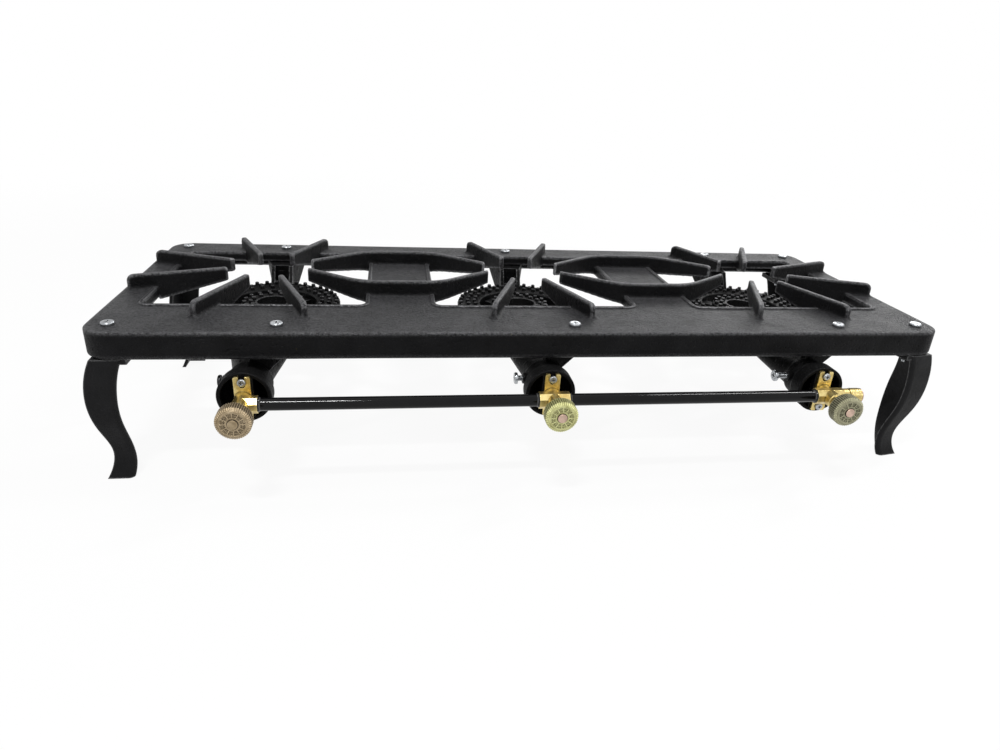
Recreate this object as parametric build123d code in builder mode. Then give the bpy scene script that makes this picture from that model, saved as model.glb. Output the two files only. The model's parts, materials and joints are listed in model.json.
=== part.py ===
from build123d import *
from math import atan2, cos, degrees, hypot, pi
import os

os.makedirs("parts", exist_ok=True)

# Millimetres. X runs along the stove, the knobs face -Y, Z is up and the feet stand on z = 0.

# Top frame: a cast plate with an apron round its edge and one opening for each burner
frame_length = 927.0
frame_depth = 352.0
frame_corner_radius = 26.0
plate_top = 172.5
plate_thickness = 6.0
plate_edge_rounding = 2.5
apron_height = 30.0
apron_thickness = 6.0
apron_lower_chamfer = 3.0
burner_pitch = 311.0
opening_length = 232.0
opening_depth = 215.0
opening_corner_radius = 8.0
opening_offset_back = 14.5
opening_rim_width = 5.0
opening_rim_depth = 11.0
opening_lip_height = 1.2
opening_lip_rounding = 0.8

# Pan-support fins and the bent ribs between burners
fin_height = 17.0
fin_thickness = 6.5
fin_outer_rounding = 8.0
fin_tip_rounding = 2.5
fin_edge_rounding = 1.0
fin_foot_flare = 2.5
fin_foot_slope = 47.0
fin_knuckle_drop = 3.5
fin_tip_depth = 16.0
fin_tip_reach = 46.0
fin_tip_half_gap = 18.5
fin_outer_half_gap = 56.0
front_fin_inset = 43.0
back_fin_inset = 27.0
side_fin_inset = 6.0
rib_half_gap = 67.0
rib_straight_half = 44.0
rib_bend_radius = 60.0

# Screws through the top plate
plate_screw_head_radius = 6.5
plate_screw_head_height = 3.2
plate_screw_radius = 2.9
plate_screw_hole_clearance = 0.3
plate_screw_spare_length = 3.0
plate_nut_across_flats = 10.0
plate_nut_height = 4.8
hex_sides = 6
spring_washer_radius = 5.2
spring_washer_thickness = 1.4
spring_washer_split = 0.8
cross_recess_width = 1.3
leg_screw_inset = 23.0
front_burner_screw_inset = 22.0
front_burner_screw_offset = 30.0
back_burner_screw_inset = 22.0
screw_boss_radius = 9.5

# Legs: angle-section castings with an S curve. Each curve is a list of pairs: a share of the
# leg's height, and there the distance out from the frame's end, or back from its front edge
leg_outer_curve = ((1, -7), (0.83, 2), (0.645, 5), (0.41, -0.5), (0.24, -7), (0.1, -4), (0, 2.5))
leg_inner_curve = ((1, -36), (0.7, -24.3), (0.48, -23.3), (0.27, -26.5), (0, -24))
leg_front_curve = ((1, 3), (0.74, 5), (0.5, 9), (0.27, 17), (0.17, 19), (0, 15))
leg_back_curve = ((1, 44), (0.77, 49), (0.6, 53), (0.43, 51), (0.28, 45), (0.12, 42), (0, 43))
leg_wall = 5.0
leg_corner_rounding = 5.0
leg_top_plate_thickness = 6.0
leg_top_plate_lip = 4.5
front_right_leg_twist = 10.0

# Burner heads: a ring and a smaller ring inside it, with rows of raised ports
burner_offset_back = 15.0
ring_outer_radius = 81.0
ring_bore_radius = 52.0
ring_top = 139.5
ring_depth = 24.0
ring_edge_rounding = 1.5
casting_wall = 3.0
inner_ring_outer_radius = 38.0
inner_ring_bore_radius = 19.5
inner_ring_lip_height = 1.6
inner_ring_lip_width = 2.0
port_height = 4.0
port_radius = 2.9
port_top_radius = 2.2
port_hole_radius = 0.9
port_pitch = 12.75
port_bore_margin = 7.0
port_edge_margin = 4.0
outer_port_row_count = 3
inner_port_row_count = 2
spoke_width = 13.0
spoke_height = 17.0
spoke_count = 4

# Mixing tube from the air cup to the ring
valve_height = 110.5
tube_neck_radius = 19.0
tube_wall = 4.0
tube_neck_length = 22.0
tube_middle_half_width = 27.0
tube_middle_half_height = 16.0
tube_middle_rise = 4.0
tube_middle_distance = 33.0
tube_flare_half_width = 44.0
tube_flare_half_height = 11.0
tube_flare_inset = 16.0

# Hanger at the back of each burner and lug at its front
hanger_front_width = 28.0
hanger_back_width = 50.0
hanger_wall = 5.0
hanger_gap_to_rim = 9.0
hanger_depth = 37.0
hanger_foot_thickness = 7.0
hanger_rise = 8.0
hanger_bite = 10.0
hanger_brow = 5.0
hanger_gap_under_rim = 1.0
lug_thickness = 9.5
lug_slope_start = 8.0

# Air cups, which slip over the tube necks
cup_face_reach = 194.0
cup_radius = 26.8
cup_rim_width = 4.0
cup_rim_rounding = 1.2
cup_straight_depth = 16.0
cup_taper_depth = 8.0
cup_shoulder_thickness = 2.0
cup_collar_radius = 22.8
cup_collar_depth = 14.0
cup_neck_clearance = 0.05
cup_bar_width = 19.0
cup_bar_thickness = 6.0
set_screw_stand_offs = {"left": 2.0, "middle": 6.0, "right": 13.0}
set_screw_rise = 4.0
set_screw_boss_radius = 6.0
set_screw_boss_height = 2.5

# Brass valves
valve_plate_width = 16.0
valve_plate_height = 47.5
valve_plate_thickness = 4.0
valve_plate_corner_radius = 2.0
valve_plate_slot_radius = 3.1
valve_plate_slot_floor = 15.3
valve_screw_spread = 18.3
valve_screw_radius = 1.95
valve_screw_length = 11.0
valve_screw_head_radius = 4.1
valve_screw_head_height = 2.6
valve_barrel_radius = 8.5
valve_barrel_length = 27.0
valve_barrel_chamfer = 0.8
valve_spigot_radius = 6.0
valve_spigot_length = 8.0
valve_spigot_clearance = 0.1
socket_across_flats = 16.5
socket_sides = 8
socket_half_length = 16.0
socket_bore_depth = 10.0
gas_passage_radius = 3.0
pipe_gap_to_plate = 11.0
spindle_chamber_radius = 4.2
spindle_chamber_depth = 18.0
seat_bore_radius = 1.6
gland_across_flats = 15.0
gland_length = 7.0
gland_corner_cut = 0.5
gland_thread_radius = 6.0
gland_thread_length = 4.0
seal_length = 3.0
thread_clearance = 0.05
jet_across_flats = 8.0
jet_head_length = 5.0
jet_nose_length = 3.0
jet_nose_radius = 2.6
jet_shank_length = 4.0
jet_shank_radius = 2.8
jet_hole_radius = 0.5

# Needle spindles and knobs
spindle_radius = 3.0
spindle_thread_radius = 4.1
spindle_thread_length = 5.0
spindle_neck_length = 1.0
running_clearance = 0.05
needle_length = 5.0
needle_tip_radius = 0.6
knob_radius = 16.8
knob_depth = 12.5
knob_bevel_width = 3.6
knob_bevel_depth = 2.6
knob_wall = 2.6
knob_face_thickness = 4.0
knob_hub_radius = 6.5
knob_hub_stand_off = 3.5
knob_face_reach = 250.0
knob_notch_count = 48
knob_notch_size = 1.1
knob_band_inner_radius = 6.6
knob_band_outer_radius = 11.8
knob_band_depth = 0.6
knob_tick_count = 12
knob_tick_width = 1.0
rivet_head_radius = 4.8
rivet_head_height = 1.4
rivet_shank_length = 1.8
rivet_gap_to_spindle = 0.3

# Gas pipes and inlet
pipe_radius = 6.5
pipe_wall = 1.2
pipe_end_gap = 0.3
inlet_collar_radius = 8.0
inlet_collar_length = 6.0
inlet_groove_radius = 6.6
inlet_groove_length = 1.6
inlet_thread_radius = 7.94
inlet_thread_length = 15.0
inlet_bore_radius = 4.0
inlet_tip_chamfer = 0.8

# Places worked out from the sizes above
front_reach = knob_face_reach + rivet_head_height
stove_shift_back = (front_reach - frame_depth / 2) / 2
plate_bottom = plate_top - plate_thickness
apron_bottom = plate_top - apron_height
rim_bottom = plate_top - opening_rim_depth
fin_tip_bottom = plate_top + fin_height - fin_tip_depth
opening_front = opening_offset_back - opening_depth / 2
opening_back = opening_offset_back + opening_depth / 2
leg_screw_x = frame_length / 2 - leg_screw_inset
leg_screw_y = frame_depth / 2 - leg_screw_inset
front_screw_y = front_burner_screw_inset - frame_depth / 2
back_screw_y = frame_depth / 2 - back_burner_screw_inset
ring_bottom = ring_top - ring_depth
cup_face_y = -cup_face_reach
cup_taper_y = cup_face_y + cup_straight_depth
cup_collar_y = cup_taper_y + cup_taper_depth
cup_back_y = cup_collar_y + cup_collar_depth
tube_mouth_y = cup_collar_y
valve_front_y = cup_face_y - valve_plate_thickness
pipe_y = valve_front_y - pipe_gap_to_plate
barrel_front_y = valve_front_y - valve_barrel_length
seat_y = barrel_front_y + spindle_chamber_depth
spigot_back_y = cup_face_y + valve_spigot_length
knob_face_y = -knob_face_reach
knob_back_y = knob_face_y + knob_depth
burner_places = {"left": -burner_pitch, "middle": 0.0, "right": burner_pitch}


def level(x, y, z):
    """A horizontal sketch plane, with its origin measured from the middle of the frame."""
    return Plane(origin=(x, y + stove_shift_back, z))


def front_view(x, y, z):
    """An upright sketch plane that faces -Y, with its own Y axis upwards."""
    return Plane(origin=(x, y + stove_shift_back, z), x_dir=(1, 0, 0), z_dir=(0, -1, 0))


def side_view(x, y, z):
    """An upright sketch plane that faces +X: its X axis runs backwards and its Y axis up."""
    return Plane(origin=(x, y + stove_shift_back, z), x_dir=(0, 1, 0), z_dir=(1, 0, 0))


def left_view(x, y, z):
    """An upright sketch plane that faces -X, with its own Y axis upwards."""
    return Plane(origin=(x, y + stove_shift_back, z), x_dir=(0, -1, 0), z_dir=(-1, 0, 0))


def save(part, name):
    part.label = name
    export_step(part, f"parts/{name}.step")


def fin_ends(burner_x):
    """Outer and inner end of each of one burner's straight fins, as places in plan."""
    mid_y = burner_offset_back
    front_y = front_fin_inset - frame_depth / 2
    back_y = frame_depth / 2 - back_fin_inset
    ends = []
    for side in (-1, 1):
        outer_x = burner_x + side * fin_outer_half_gap
        inner_x = burner_x + side * fin_tip_half_gap
        ends.append(((outer_x, front_y), (inner_x, mid_y - fin_tip_reach)))
        ends.append(((outer_x, back_y), (inner_x, mid_y + fin_tip_reach)))
    if abs(burner_x) > 0:
        outward = burner_x / abs(burner_x)
        outer_x = outward * (frame_length / 2 - side_fin_inset)
        inner_x = burner_x + outward * fin_tip_reach
        for side in (-1, 1):
            outer_y = mid_y + side * fin_outer_half_gap
            inner_y = mid_y + side * fin_tip_half_gap
            ends.append(((outer_x, outer_y), (inner_x, inner_y)))
    return ends


def length_over_plate(outer, inner, burner_x):
    """How far a fin runs over the plate before it reaches the opening's edge."""
    run_x, run_y = inner[0] - outer[0], inner[1] - outer[1]
    full = hypot(run_x, run_y)
    if abs(run_y) > abs(run_x):
        edge = opening_front if run_y > 0 else opening_back
        return full * (edge - outer[1]) / run_y
    edge = burner_x - opening_length / 2 if run_x > 0 else burner_x + opening_length / 2
    return full * (edge - outer[0]) / run_x


def make_fin(outer, inner, burner_x):
    """One straight fin: level on top, stepped below where it leaves the plate."""
    run_x, run_y = inner[0] - outer[0], inner[1] - outer[1]
    full = hypot(run_x, run_y)
    over_plate = length_over_plate(outer, inner, burner_x)
    upright = Plane(
        origin=(outer[0], outer[1] + stove_shift_back, plate_top),
        x_dir=(run_x / full, run_y / full, 0),
        z_dir=(run_y / full, -run_x / full, 0),
    )
    rim_start = over_plate - opening_rim_width / 2
    buried = -plate_thickness / 2
    rim_foot = -opening_rim_depth - fin_knuckle_drop
    outline = (
        (0, buried),
        (0, fin_height),
        (full, fin_height),
        (full, fin_height - fin_tip_depth),
        (over_plate, rim_foot),
        (rim_start, rim_foot),
        (rim_start, buried),
    )
    rounding = (0, fin_outer_rounding, fin_tip_rounding, fin_tip_rounding, 0, 0, 0)
    with BuildPart() as fin:
        with BuildSketch(upright):
            with BuildLine():
                FilletPolyline(*outline, radius=rounding, close=True)
            make_face()
        extrude(amount=fin_thickness / 2, both=True)
        crown = fin.edges().filter_by(lambda e: e.center().Z > plate_top + fin_outer_rounding)
        long_crown = crown.filter_by(lambda e: e.length > 2 * fin_thickness)
        fillet(long_crown, fin_edge_rounding)
        on_plate = Plane(origin=upright.origin, x_dir=upright.x_dir, z_dir=(0, 0, 1))
        foot_end = over_plate - opening_rim_width
        with BuildSketch(on_plate):
            with Locations(((foot_end - fin_foot_flare) / 2, 0)):
                Rectangle(foot_end + fin_foot_flare, fin_thickness + 2 * fin_foot_flare)
        extrude(amount=fin_foot_flare, taper=fin_foot_slope)
    return fin.part


def make_bridge_rib(left_burner_x, side):
    """The bent rib from one burner's opening over the bridge to the next one's."""
    right_burner_x = left_burner_x + burner_pitch
    bridge_x = left_burner_x + burner_pitch / 2
    mid_y = burner_offset_back
    tip_y = mid_y + side * fin_tip_half_gap
    bend_y = mid_y + side * rib_half_gap
    half = fin_thickness / 2
    left_tip = left_burner_x + fin_tip_reach
    right_tip = right_burner_x - fin_tip_reach
    slope = hypot(bridge_x - rib_straight_half - left_tip, rib_half_gap - fin_tip_half_gap)
    edge_shift = half * slope / (bridge_x - rib_straight_half - left_tip)
    far = (
        (left_tip, tip_y + edge_shift),
        (bridge_x - rib_straight_half, bend_y + half),
        (bridge_x + rib_straight_half, bend_y + half),
        (right_tip, tip_y + edge_shift),
    )
    near = (
        (right_tip, tip_y - edge_shift),
        (bridge_x + rib_straight_half, bend_y - half),
        (bridge_x - rib_straight_half, bend_y - half),
        (left_tip, tip_y - edge_shift),
    )
    outside_bend = rib_bend_radius + half
    inside_bend = rib_bend_radius - half
    far_bend = outside_bend if side > 0 else inside_bend
    near_bend = inside_bend if side > 0 else outside_bend
    rounding = (0, far_bend, far_bend, 0, 0, near_bend, near_bend, 0)
    rib_foot = plate_top - opening_rim_depth + 1
    bridge_width = burner_pitch - opening_length - 2 * opening_rim_width
    with BuildPart() as rib:
        with BuildSketch(level(0, 0, rib_foot)) as rib_plan:
            with BuildLine():
                FilletPolyline(*far, *near, radius=rounding, close=True)
            make_face()
        extrude(amount=plate_top + fin_height - rib_foot)
        for tip_x, edge_x in (
            (left_tip, left_burner_x + opening_length / 2),
            (right_tip, right_burner_x - opening_length / 2),
        ):
            beyond = 2 * tip_x - edge_x
            beyond_foot = 2 * fin_tip_bottom - rib_foot
            with BuildSketch(front_view(0, mid_y + side * rib_half_gap, 0)):
                with BuildLine():
                    Polyline(
                        (edge_x, rib_foot - 1),
                        (edge_x, rib_foot),
                        (beyond, beyond_foot),
                        (beyond, rib_foot - 1),
                        close=True,
                    )
                make_face()
            extrude(amount=2 * rib_half_gap, both=True, mode=Mode.SUBTRACT)
        fillet(rib.faces().sort_by(Axis.Z)[-1].outer_wire().edges(), fin_edge_rounding)
        with BuildSketch(level(0, 0, plate_top)):
            add(rib_plan.sketch_local)
            offset(amount=fin_foot_flare)
            with Locations((bridge_x, mid_y)):
                Rectangle(bridge_width, 4 * rib_half_gap, mode=Mode.INTERSECT)
        extrude(amount=fin_foot_flare, taper=fin_foot_slope)
    return rib.part


leg_screw_places = [(sx * leg_screw_x, sy * leg_screw_y) for sx in (-1, 1) for sy in (-1, 1)]
front_screw_places = [(x + front_burner_screw_offset, front_screw_y) for x in burner_places.values()]
back_screw_places = [(x, back_screw_y) for x in burner_places.values()]
plate_hole_radius = plate_screw_radius + plate_screw_hole_clearance
tapped_radius = plate_screw_radius + thread_clearance
turning_axis = Axis((0, 0, valve_height), (0, 1, 0))

# The top frame, with its fins and ribs
fins = []
for burner_x in burner_places.values():
    fins += [make_fin(outer_end, inner_end, burner_x) for outer_end, inner_end in fin_ends(burner_x)]
for left_burner_x in (-burner_pitch, 0.0):
    fins += [make_bridge_rib(left_burner_x, rib_side) for rib_side in (-1, 1)]

with BuildPart() as frame_casting:
    with BuildSketch(level(0, 0, apron_bottom)):
        RectangleRounded(frame_length, frame_depth, frame_corner_radius)
    extrude(amount=apron_height)
    fillet(frame_casting.faces().sort_by(Axis.Z)[-1].edges(), plate_edge_rounding)
    chamfer(frame_casting.faces().sort_by(Axis.Z)[0].edges(), apron_lower_chamfer)
    with BuildSketch(level(0, 0, apron_bottom)):
        RectangleRounded(
            frame_length - 2 * apron_thickness,
            frame_depth - 2 * apron_thickness,
            frame_corner_radius - apron_thickness,
        )
    extrude(amount=apron_height - plate_thickness, mode=Mode.SUBTRACT)
    with BuildSketch(level(0, opening_offset_back, rim_bottom)):
        with Locations(*[(x, 0) for x in burner_places.values()]):
            RectangleRounded(
                opening_length + 2 * opening_rim_width,
                opening_depth + 2 * opening_rim_width,
                opening_corner_radius + opening_rim_width,
            )
    extrude(amount=opening_rim_depth + opening_lip_height)
    with BuildSketch(level(0, opening_offset_back, rim_bottom)):
        with Locations(*[(x, 0) for x in burner_places.values()]):
            RectangleRounded(opening_length, opening_depth, opening_corner_radius)
    extrude(amount=2 * opening_rim_depth, mode=Mode.SUBTRACT)
    fillet(frame_casting.faces().group_by(Axis.Z)[-1].edges(), opening_lip_rounding)
    add(fins)
    with BuildSketch(level(0, 0, plate_bottom)):
        with Locations(*leg_screw_places, *front_screw_places, *back_screw_places):
            Circle(plate_hole_radius)
    extrude(amount=plate_thickness, mode=Mode.SUBTRACT)
save(frame_casting.part, "frame_casting")


def port_rows(bore_radius, outer_radius, row_count):
    """The radius of each row of ports on a ring, and how many ports it holds."""
    first = bore_radius + port_bore_margin
    spacing = (outer_radius - port_edge_margin - first) / (row_count - 1)
    radii = [first + spacing * row for row in range(row_count)]
    return [(radius, round(2 * pi * radius / port_pitch)) for radius in radii]


def port_sketch(height, radius):
    """A circle for each port of a burner."""
    rows = port_rows(ring_bore_radius, ring_outer_radius, outer_port_row_count)
    rows += port_rows(inner_ring_bore_radius, inner_ring_outer_radius, inner_port_row_count)
    with BuildSketch(level(0, burner_offset_back, height)) as ports:
        for row_number, (row_radius, port_count) in enumerate(rows):
            with PolarLocations(row_radius, port_count, start_angle=90 * row_number):
                Circle(radius)
    return ports.sketch


def ring_sketch(height, wall):
    """Both rings of the burner, drawn inwards by a wall."""
    with BuildSketch(level(0, burner_offset_back, height)) as rings:
        Circle(ring_outer_radius - wall)
        Circle(ring_bore_radius + wall, mode=Mode.SUBTRACT)
        Circle(inner_ring_outer_radius - wall)
        Circle(inner_ring_bore_radius + wall, mode=Mode.SUBTRACT)
    return rings.sketch


def spoke_sketch(height, wall):
    """The spokes between the two rings, drawn inwards by a wall."""
    middle = (ring_bore_radius + inner_ring_outer_radius) / 2
    span = ring_bore_radius - inner_ring_outer_radius + 4 * casting_wall
    with BuildSketch(level(0, burner_offset_back, height)) as spokes:
        with PolarLocations(middle, spoke_count, start_angle=180 / spoke_count):
            Rectangle(span, spoke_width - 2 * wall)
    return spokes.sketch


def tube_sections(wall):
    """The mixing tube's round neck end, its middle and its flat end inside the ring."""
    neck_end_y = tube_mouth_y + tube_neck_length
    middle_y = neck_end_y + tube_middle_distance
    flare_y = burner_offset_back - ring_outer_radius + tube_flare_inset
    with BuildSketch(front_view(0, neck_end_y, valve_height)) as neck_end:
        Circle(tube_neck_radius - wall)
    with BuildSketch(front_view(0, middle_y, valve_height + tube_middle_rise)) as middle:
        Ellipse(tube_middle_half_width - wall, tube_middle_half_height - wall)
    with BuildSketch(front_view(0, flare_y, ring_top - ring_depth / 2)) as flare:
        Ellipse(tube_flare_half_width - wall, tube_flare_half_height - wall)
    return neck_end.sketch, middle.sketch, flare.sketch


port_taper = degrees(atan2(port_radius - port_top_radius, port_height))
hanger_front_y = opening_back - hanger_gap_to_rim - hanger_wall
hanger_top = rim_bottom - hanger_gap_under_rim
hanger_bottom = ring_bottom + hanger_rise
foot_bottom = hanger_top - hanger_foot_thickness
foot_back_y = hanger_front_y + hanger_wall + hanger_depth + screw_boss_radius
flange_front_y = burner_offset_back + ring_outer_radius - hanger_bite
lug_end_x = front_burner_screw_offset + screw_boss_radius
lug_bottom = valve_height + lug_end_x - lug_slope_start
gusset_back_y = hanger_front_y + hanger_depth
hanger_front_half = hanger_front_width / 2
hanger_back_half = hanger_back_width / 2


def hanger_plan(wall):
    """The hanger from above: narrow in front, wider at the back, drawn in by the wall."""
    with BuildSketch(level(0, 0, hanger_bottom)) as plan:
        with BuildLine():
            Polyline(
                (wall - hanger_front_half, hanger_front_y + wall),
                (hanger_front_half - wall, hanger_front_y + wall),
                (hanger_back_half - wall, gusset_back_y + wall),
                (hanger_back_half - wall, foot_back_y + wall),
                (wall - hanger_back_half, foot_back_y + wall),
                (wall - hanger_back_half, gusset_back_y + wall),
                close=True,
            )
        make_face()
    return plan.sketch


# The hanger: a front wall and two splayed gussets under a foot that is bolted to the frame
with BuildPart() as hanger:
    with BuildSketch(side_view(0, 0, 0)):
        with BuildLine():
            Polyline(
                (hanger_front_y, hanger_bottom),
                (hanger_front_y + hanger_wall, hanger_bottom),
                (gusset_back_y, foot_bottom),
                (foot_back_y, foot_bottom),
                (foot_back_y, hanger_top),
                (hanger_front_y, hanger_top),
                close=True,
            )
        make_face()
    extrude(amount=hanger_back_half, both=True)
    extrude(hanger_plan(0), amount=hanger_top - hanger_bottom, mode=Mode.INTERSECT)
    extrude(hanger_plan(hanger_wall), amount=foot_bottom - hanger_bottom, mode=Mode.SUBTRACT)

with BuildPart() as burner:
    extrude(ring_sketch(ring_bottom, 0), amount=ring_depth)
    top_rims = burner.faces().group_by(Axis.Z)[-1].edges()
    fillet(top_rims, ring_edge_rounding)
    extrude(spoke_sketch(ring_bottom, 0), amount=spoke_height)
    with BuildSketch(level(0, burner_offset_back, ring_top - ring_edge_rounding)):
        Circle(inner_ring_bore_radius + inner_ring_lip_width)
        Circle(inner_ring_bore_radius, mode=Mode.SUBTRACT)
    extrude(amount=inner_ring_lip_height + ring_edge_rounding)
    extrude(port_sketch(ring_top, port_radius), amount=port_height, taper=port_taper)

    with BuildSketch(front_view(0, tube_mouth_y, valve_height)):
        Circle(tube_neck_radius)
    extrude(amount=-tube_neck_length)
    loft(tube_sections(0))

    add(hanger.part)
    for side in (-1, 1):
        with BuildSketch(side_view(side * (hanger_front_half - hanger_wall / 2), 0, 0)):
            with BuildLine():
                Polyline(
                    (flange_front_y, hanger_bottom),
                    (hanger_front_y + hanger_wall, hanger_bottom),
                    (hanger_front_y + hanger_wall, hanger_top),
                    (hanger_front_y - hanger_brow, hanger_top),
                    (flange_front_y + hanger_brow, ring_top),
                    (flange_front_y, ring_top),
                    close=True,
                )
            make_face()
        extrude(amount=hanger_wall / 2, both=True)
    with BuildSketch(level(0, back_screw_y, foot_bottom)):
        Circle(screw_boss_radius)
    extrude(amount=plate_bottom - foot_bottom)

    with BuildSketch(front_view(0, front_screw_y, 0)):
        with BuildLine():
            Polyline(
                (0, valve_height),
                (lug_slope_start, valve_height),
                (lug_end_x, lug_bottom),
                (lug_end_x, plate_bottom),
                (front_burner_screw_offset - screw_boss_radius, plate_bottom),
                (0, lug_bottom),
                close=True,
            )
        make_face()
    extrude(amount=-lug_thickness)
    with BuildSketch(level(front_burner_screw_offset, front_screw_y, lug_bottom)):
        Circle(screw_boss_radius)
    extrude(amount=plate_bottom - lug_bottom)

    chamber_floor = ring_bottom + casting_wall
    chamber_rings = ring_sketch(chamber_floor, casting_wall)
    extrude(chamber_rings, amount=ring_depth - 2 * casting_wall, mode=Mode.SUBTRACT)
    chamber_spokes = spoke_sketch(chamber_floor, casting_wall)
    extrude(chamber_spokes, amount=spoke_height - 2 * casting_wall, mode=Mode.SUBTRACT)
    port_holes = port_sketch(ring_top + port_height, port_hole_radius)
    extrude(port_holes, amount=-port_height - 2 * casting_wall, mode=Mode.SUBTRACT)
    with BuildSketch(front_view(0, tube_mouth_y, valve_height)):
        Circle(tube_neck_radius - tube_wall)
    extrude(amount=-tube_neck_length, mode=Mode.SUBTRACT)
    loft(tube_sections(tube_wall), mode=Mode.SUBTRACT)
    with BuildSketch(level(0, back_screw_y, plate_bottom)):
        Circle(plate_hole_radius)
    extrude(amount=foot_bottom - plate_bottom, mode=Mode.SUBTRACT)
    with BuildSketch(level(front_burner_screw_offset, front_screw_y, plate_bottom)):
        Circle(tapped_radius)
    extrude(amount=lug_bottom - plate_bottom, mode=Mode.SUBTRACT)

# Air cup: a bowl with a bar across its face, a collar for the tube neck and a set-screw boss
set_screw_y = (cup_collar_y + cup_back_y) / 2
set_screw_z = valve_height + set_screw_rise
cup_inner_radius = cup_radius - cup_rim_width
boss_end_x = -cup_collar_radius - set_screw_boss_height
screw_spots = [(0, valve_screw_spread), (0, -valve_screw_spread)]
all_screw_spots = [(x, z) for x in burner_places.values() for _, z in screw_spots]

with BuildPart() as air_cup:
    with BuildSketch(level(0, 0, valve_height)):
        with BuildLine():
            Polyline(
                (cup_inner_radius, cup_face_y),
                (cup_radius, cup_face_y),
                (cup_radius, cup_taper_y),
                (cup_collar_radius, cup_collar_y),
                (cup_collar_radius, cup_back_y),
                (tube_neck_radius + cup_neck_clearance, cup_back_y),
                (tube_neck_radius + cup_neck_clearance, tube_mouth_y),
                (tube_neck_radius - tube_wall, tube_mouth_y),
                (tube_neck_radius - tube_wall, tube_mouth_y - cup_shoulder_thickness),
                (cup_inner_radius, cup_taper_y - cup_shoulder_thickness),
                close=True,
            )
        make_face()
    revolve(axis=turning_axis)
    fillet(air_cup.edges().group_by(Axis.Y)[0], cup_rim_rounding)
    with BuildSketch(front_view(0, cup_face_y, valve_height)):
        Circle(cup_radius - cup_rim_width / 2)
        Rectangle(cup_bar_width, 2 * cup_radius, mode=Mode.INTERSECT)
    extrude(amount=-cup_bar_thickness)
    with BuildSketch(left_view(boss_end_x, set_screw_y, set_screw_z)):
        Circle(set_screw_boss_radius)
    extrude(amount=boss_end_x + tube_neck_radius + cup_neck_clearance)
    with BuildSketch(front_view(0, tube_mouth_y, valve_height)):
        Circle(tube_neck_radius + cup_neck_clearance)
    extrude(amount=-cup_collar_depth, mode=Mode.SUBTRACT)
    with BuildSketch(front_view(0, cup_face_y, valve_height)):
        Circle(valve_spigot_radius + valve_spigot_clearance)
        with Locations(*screw_spots):
            Circle(valve_screw_radius + thread_clearance)
    extrude(amount=-cup_bar_thickness, mode=Mode.SUBTRACT)
    with BuildSketch(left_view(boss_end_x, set_screw_y, set_screw_z)):
        Circle(tapped_radius)
    extrude(amount=boss_end_x, mode=Mode.SUBTRACT)


def make_pan_screws(surface, places, head_radius, head_height, shank_radius, shank_length):
    """Pan-head screws with a cross recess: surface is the plane that their heads sit on."""
    with BuildPart() as screws:
        with BuildSketch(surface):
            with Locations(*places):
                Circle(head_radius)
        extrude(amount=head_height)
        outward = Axis(surface.origin, surface.z_dir)
        fillet(screws.edges().group_by(outward)[-1], head_height / 2)
        with BuildSketch(surface):
            with Locations(*places):
                Circle(shank_radius)
        extrude(amount=-shank_length)
        with BuildSketch(surface.offset(head_height)):
            with Locations(*places):
                Rectangle(cross_recess_width, head_radius)
                Rectangle(head_radius, cross_recess_width)
        extrude(amount=-head_height / 2, mode=Mode.SUBTRACT)
    return screws.part


# Brass valve body, with pipe sockets on one side or both
def make_valve_body(socket_directions):
    with BuildPart() as valve_body:
        with BuildSketch(front_view(0, cup_face_y, valve_height)):
            RectangleRounded(valve_plate_width, valve_plate_height, valve_plate_corner_radius)
            for side in (-1, 1):
                with Locations((0, side * valve_plate_slot_floor)):
                    Circle(valve_plate_slot_radius, mode=Mode.SUBTRACT)
                with Locations((0, side * (valve_plate_slot_floor + valve_plate_height / 2) / 2)):
                    slot_run = valve_plate_height / 2 - valve_plate_slot_floor
                    Rectangle(2 * valve_plate_slot_radius, slot_run, mode=Mode.SUBTRACT)
        extrude(amount=valve_plate_thickness)
        with BuildSketch(front_view(0, valve_front_y, valve_height)):
            Circle(valve_barrel_radius)
        extrude(amount=valve_barrel_length)
        chamfer(valve_body.edges().group_by(Axis.Y)[0], valve_barrel_chamfer)
        with BuildSketch(front_view(0, cup_face_y, valve_height)):
            Circle(valve_spigot_radius)
        extrude(amount=-valve_spigot_length)
        for side in socket_directions:
            with BuildSketch(side_view(0, pipe_y, valve_height)):
                RegularPolygon(socket_across_flats / 2, socket_sides, False, 180 / socket_sides)
            extrude(amount=side * socket_half_length)
        for side in socket_directions:
            with BuildSketch(side_view(0, pipe_y, valve_height)):
                Circle(gas_passage_radius)
            extrude(amount=side * socket_half_length, mode=Mode.SUBTRACT)
            with BuildSketch(side_view(side * socket_half_length, pipe_y, valve_height)):
                Circle(pipe_radius + thread_clearance)
            extrude(amount=-side * socket_bore_depth, mode=Mode.SUBTRACT)
        with BuildSketch(front_view(0, barrel_front_y, valve_height)):
            Circle(gland_thread_radius + thread_clearance)
        extrude(amount=-gland_thread_length - seal_length, mode=Mode.SUBTRACT)
        with BuildSketch(front_view(0, barrel_front_y, valve_height)):
            Circle(spindle_chamber_radius)
        extrude(amount=-spindle_chamber_depth, mode=Mode.SUBTRACT)
        with BuildSketch(front_view(0, seat_y, valve_height)):
            Circle(seat_bore_radius)
        extrude(amount=seat_y - spigot_back_y, mode=Mode.SUBTRACT)
        with BuildSketch(front_view(0, spigot_back_y, valve_height)):
            Circle(jet_shank_radius + thread_clearance)
        extrude(amount=jet_shank_length, mode=Mode.SUBTRACT)
    return valve_body.part


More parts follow.
